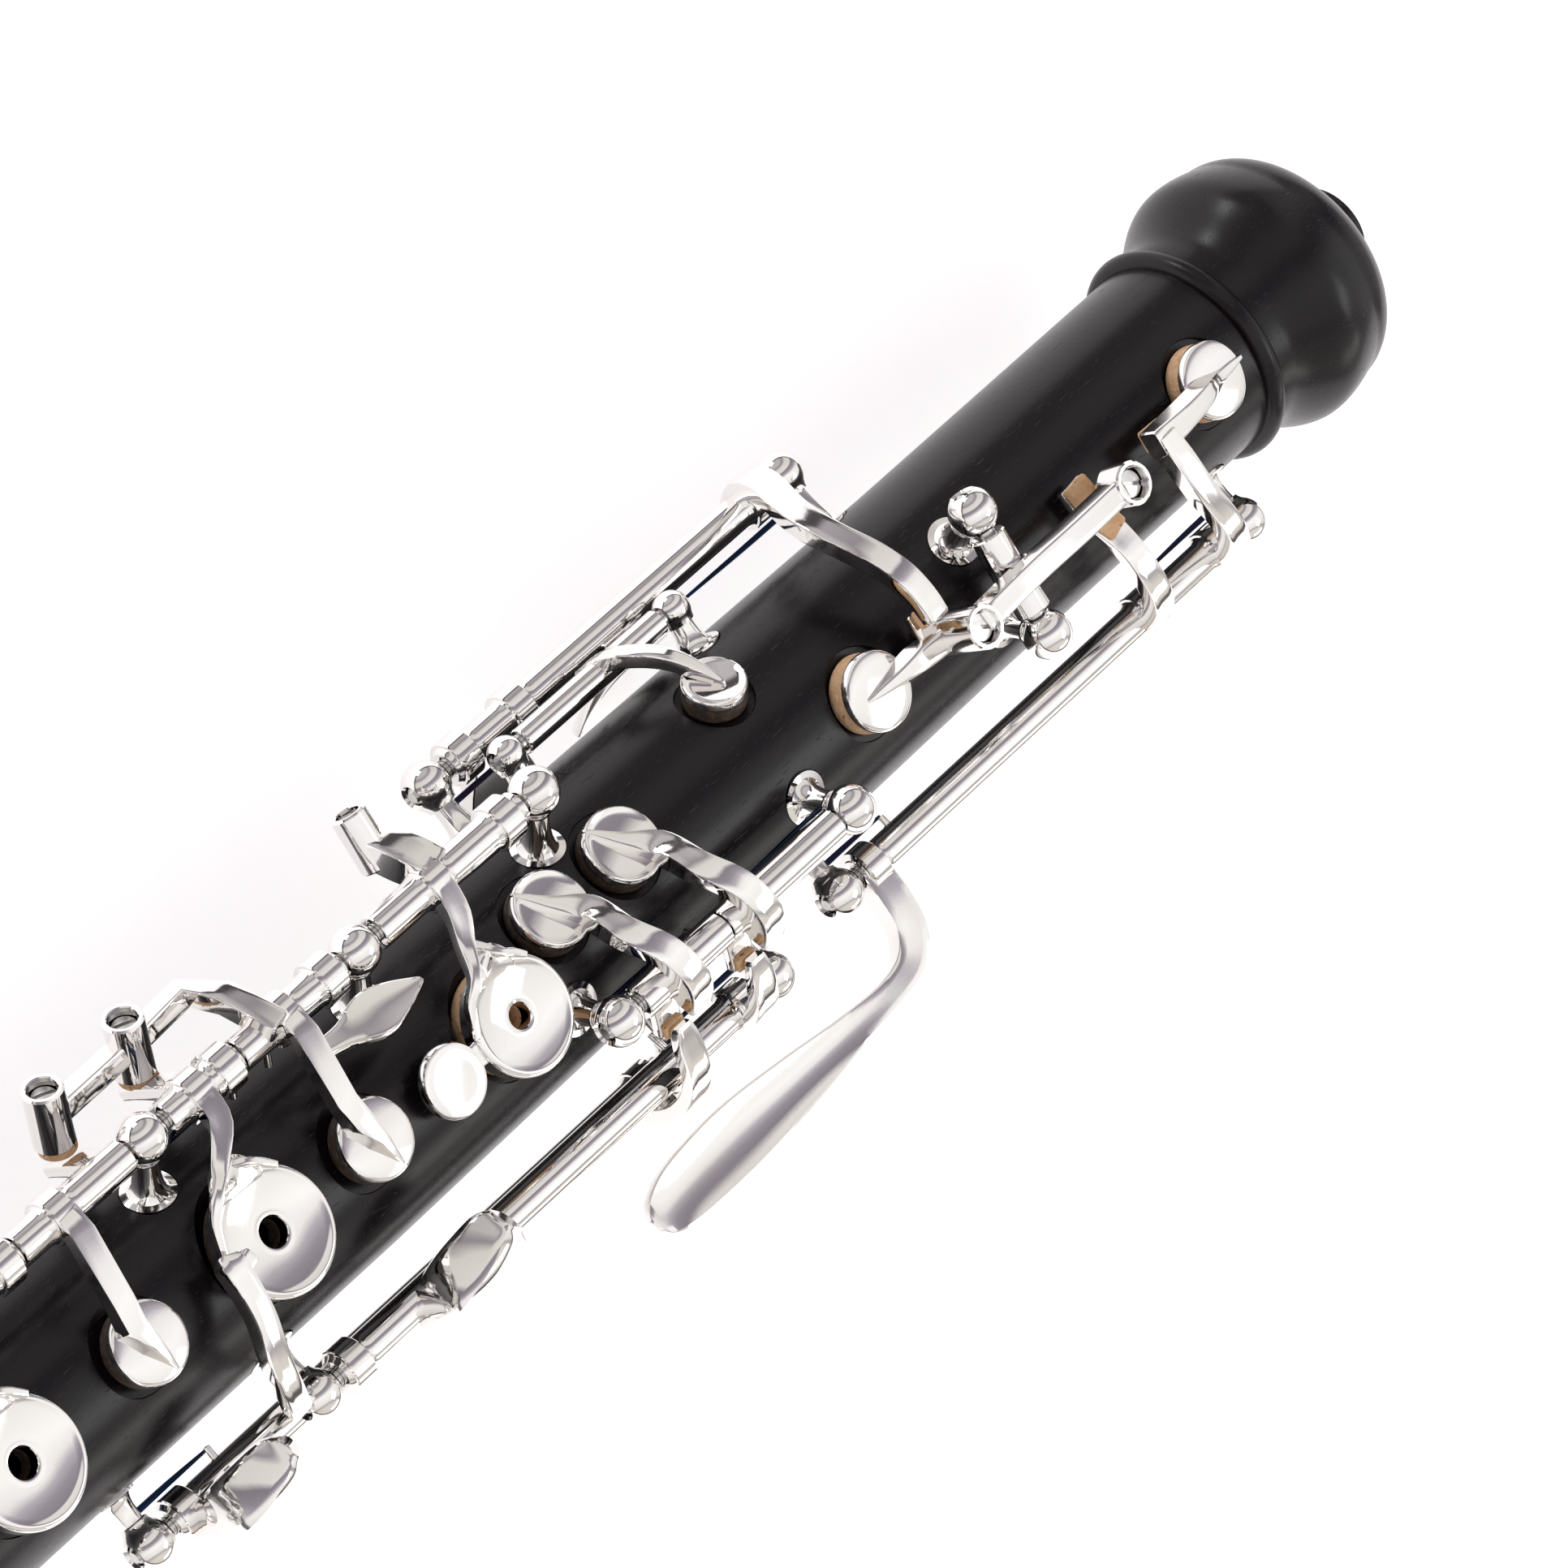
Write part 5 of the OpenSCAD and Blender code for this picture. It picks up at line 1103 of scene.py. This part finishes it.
def thumbRest():
    a, z = rest["a"], rest["z"]
    length, width, thick = rest["length"], rest["width"], rest["plate"]
    cornerR, n = 2, 8
    x0, y0 = length / 2 - cornerR, width / 2 - cornerR
    outline = []
    for cx, cy, start in ((x0, y0, 0), (-x0, y0, 90), (-x0, -y0, 180), (x0, -y0, 270)):
        outline += [(cx + cornerR * cos(radians(start + k * 90 / n)),
                     cy + cornerR * sin(radians(start + k * 90 / n)))
                    for k in range(n + 1)]
    base = skinned([[Vector((x * scale - a, y * scale, high)) for x, y in outline]
                    for high, scale in ((z, 1), (z - thick + 0.3, 1), (z - thick, 0.975))])
    hook = [[a + 2.2, 180, -z + 0.2, 8.6, 2.4, 90], [a + 1.4, 180, -z + 2.8, 8.4, 2, 90],
            [a - 0.6, 180, -z + 6.4, 8.2, 1.8, 90], [a - 4.4, 180, -z + 9.6, 8, 1.7, 90],
            [a - 9.4, 180, -z + 10.9, 7.2, 1.6, 90]]
    return base, hook


def hookSolid(rows):  # a strap across Y that curls toward the reed end
    path = [Vector((-row[0], 0, -row[2])) for row in smoothed(rows, 6)]
    sizes = smoothed(rows, 6)
    rings = []
    for i, p in enumerate(path):
        tangent = (path[min(i + 1, len(path) - 1)] - path[max(i - 1, 0)]).normalized()
        side = Vector((0, 1, 0))
        up = tangent.cross(side)
        section = barSection(sizes[i][3], sizes[i][4], 0, 0, 0.6)
        rings.append([p + side * x + up * y for x, y in section])
    return skinned(rings)


def thumbRestPieces():
    base, hook = thumbRest()
    holes, screws, slots = [], [], []
    for x in rest["screws"]:
        at = Matrix.Translation((x - rest["a"], 0, rest["z"])) @ Matrix.Rotation(pi, 4, "X")
        holes.append(turned([(0, -1), (0.9, -1), (0.9, 0.6), (1.75, 1.2), (1.75, 4), (0, 4)], at, 32))
        screws.append(turned([(0, -0.4), (0.8, -0.4), (0.8, 0.6), (1.6, 1.15), (1.6, 1.55), (1.3, 1.75),
                              (0, 1.9)],
                             at, 32))
        slots.append(box(at @ Matrix.Rotation(0.6, 4, "Z") @ Matrix.Translation((0, 0, 1.8)), (0.4, 4, 0.7)))
    place(fuse("thumbRest", [base, hookSolid(hook)], holes), "instrument", silver, "silver", ["thumb_rest"])
    place(fuse("thumbRestScrews", screws, slots), "instrument", steel, "steel", ["thumb_rest_screws"])


thumbRestPieces()
print("thumb rest made")

# floor, light and camera

studio = {"floorGap": 0.002, "floorSize": 8, "glow": 0.62, "cameraAt": (-0.5345, 0.2139, 0.6583),
          "cameraTurn": (7.98, -36.34, -39.375), "lens": 209.6,
          # name, direction from the upper joint, distance, size, brightness, tint
          "lights": [("keySoftbox", (0.5, -0.45, 0.74), 1.6, (0.7, 0.5), 2.4, (1, 1, 1)),
                     ("leftSoftbox", (-0.05, 0.97, 0.085), 1.6, (0.5, 0.2), 10.0, (1, 1, 1)),
                     ("sideStrip", (0.35, -0.9, 0.3), 1.5, (0.9, 0.25), 2.2, (1, 0.97, 0.93))]}


def floorFinish():
    f = Finish("paper")
    tooth = f.noise(f.where(), 350.0, 4.0)
    f.set(colour=f.mix(f.between(tooth, 0.3, 0.7), (0.79, 0.775, 0.785), (0.815, 0.8, 0.81)), roughness=0.9,
          normal=f.bump(tooth, 0.03, 0.0002))
    f.shader.inputs["Emission Color"].default_value = (1, 0.985, 0.995, 1)
    f.shader.inputs["Emission Strength"].default_value = studio["glow"]
    return f.material


def areaLight(name, towards, distance, size, brightness, tint):
    # a softbox seen from the upper joint in one direction; brightness is what a mirror would show
    light = bpy.data.lights.new(name, "AREA")
    light.shape, light.size, light.size_y, light.color = "RECTANGLE", *size, tint
    light.energy = brightness * pi * size[0] * size[1]
    lamp = bpy.data.objects.new(name, light)
    way = Vector(towards).normalized()
    lamp.location = Vector((-0.12, 0, 0)) + way * distance
    lamp.rotation_mode = "QUATERNION"
    lamp.rotation_quaternion = (-way).to_track_quat("-Z", "Y")
    bpy.context.scene.collection.objects.link(lamp)


def tent():  # the soft surroundings: dark at the horizon and on the far left, pale overhead and on the right
    world = Shading(bpy.data.worlds.new("studio"))
    way = world.add("ShaderNodeTexCoord", output="Generated")
    across = world.add("ShaderNodeSeparateXYZ", None, {0: way}, output=1)
    upward = world.add("ShaderNodeSeparateXYZ", None, {0: way}, output=2)
    sides = world.add("ShaderNodeValToRGB", {"stops": [
        (0.0, (0.9, 0.87, 0.82)), (0.12, (0.86, 0.82, 0.76)), (0.17, (0.5, 0.47, 0.48)),
                                                       (0.22, (0.98, 0.96, 0.94)),
        (0.44, (1.15, 1.14, 1.13)), (0.51, (1, 0.97, 0.96)), (0.55, (0.55, 0.52, 0.57)),
                                                       (0.6, (0.36, 0.33, 0.37)),
        (0.67, (0.28, 0.25, 0.29)), (0.71, (0.9, 0.87, 0.85)), (0.83, (0.85, 0.82, 0.78)),
                                                       (0.88, (0.36, 0.33, 0.36)),
        (0.94, (0.65, 0.62, 0.63)),
        (1.0, (0.6, 0.58, 0.6))]}, {0: across * 0.5 + 0.5})
    height = world.add("ShaderNodeValToRGB", {"stops": [
        (0.0, (0.5, 0.5, 0.5)), (0.49, (0.5, 0.5, 0.5)), (0.505, (0.12, 0.115, 0.12)),
                                                        (0.535, (0.16, 0.15, 0.16)),
        (0.56, (0.85, 0.84, 0.84)), (1.0, (1, 1, 1))]}, {0: upward * 0.5 + 0.5})
    colour = world.add("ShaderNodeMix", {"data_type": "RGBA", "blend_type": "MULTIPLY"},
                       {0: 1.0, 6: sides, 7: height},
                       output=2)
    world.put(world.tree.nodes["Background"].inputs[0], colour)
    world.tree.nodes["Background"].inputs[1].default_value = 1.0
    bpy.context.scene.world = world.owner


def studioSet():
    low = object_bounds()[0].z - studio["floorGap"]
    half = studio["floorSize"] / 2
    mesh = bpy.data.meshes.new("floor")
    mesh.from_pydata([(x - 0.3, y, low) for x, y in ((-half, -half), (half, -half), (half, half),
                                                     (-half, half))],
                     [], [(0, 1, 2, 3)])
    floor = bpy.data.objects.new("floor", mesh)
    bpy.context.scene.collection.objects.link(floor)
    mesh.materials.append(floorFinish())
    for row in studio["lights"]:
        areaLight(*row)
    tent()
    bpy.context.scene.view_settings.view_transform = "Standard"
    camera = bpy.data.objects.new("camera", bpy.data.cameras.new("camera"))
    camera.data.lens, camera.data.sensor_width = studio["lens"], 36
    camera.data.clip_start, camera.data.clip_end = 0.01, 30
    camera.location = studio["cameraAt"]
    camera.rotation_euler = [radians(t) for t in studio["cameraTurn"]]
    bpy.context.scene.collection.objects.link(camera)
    bpy.context.scene.camera = camera


studioSet()
print("studio ready")
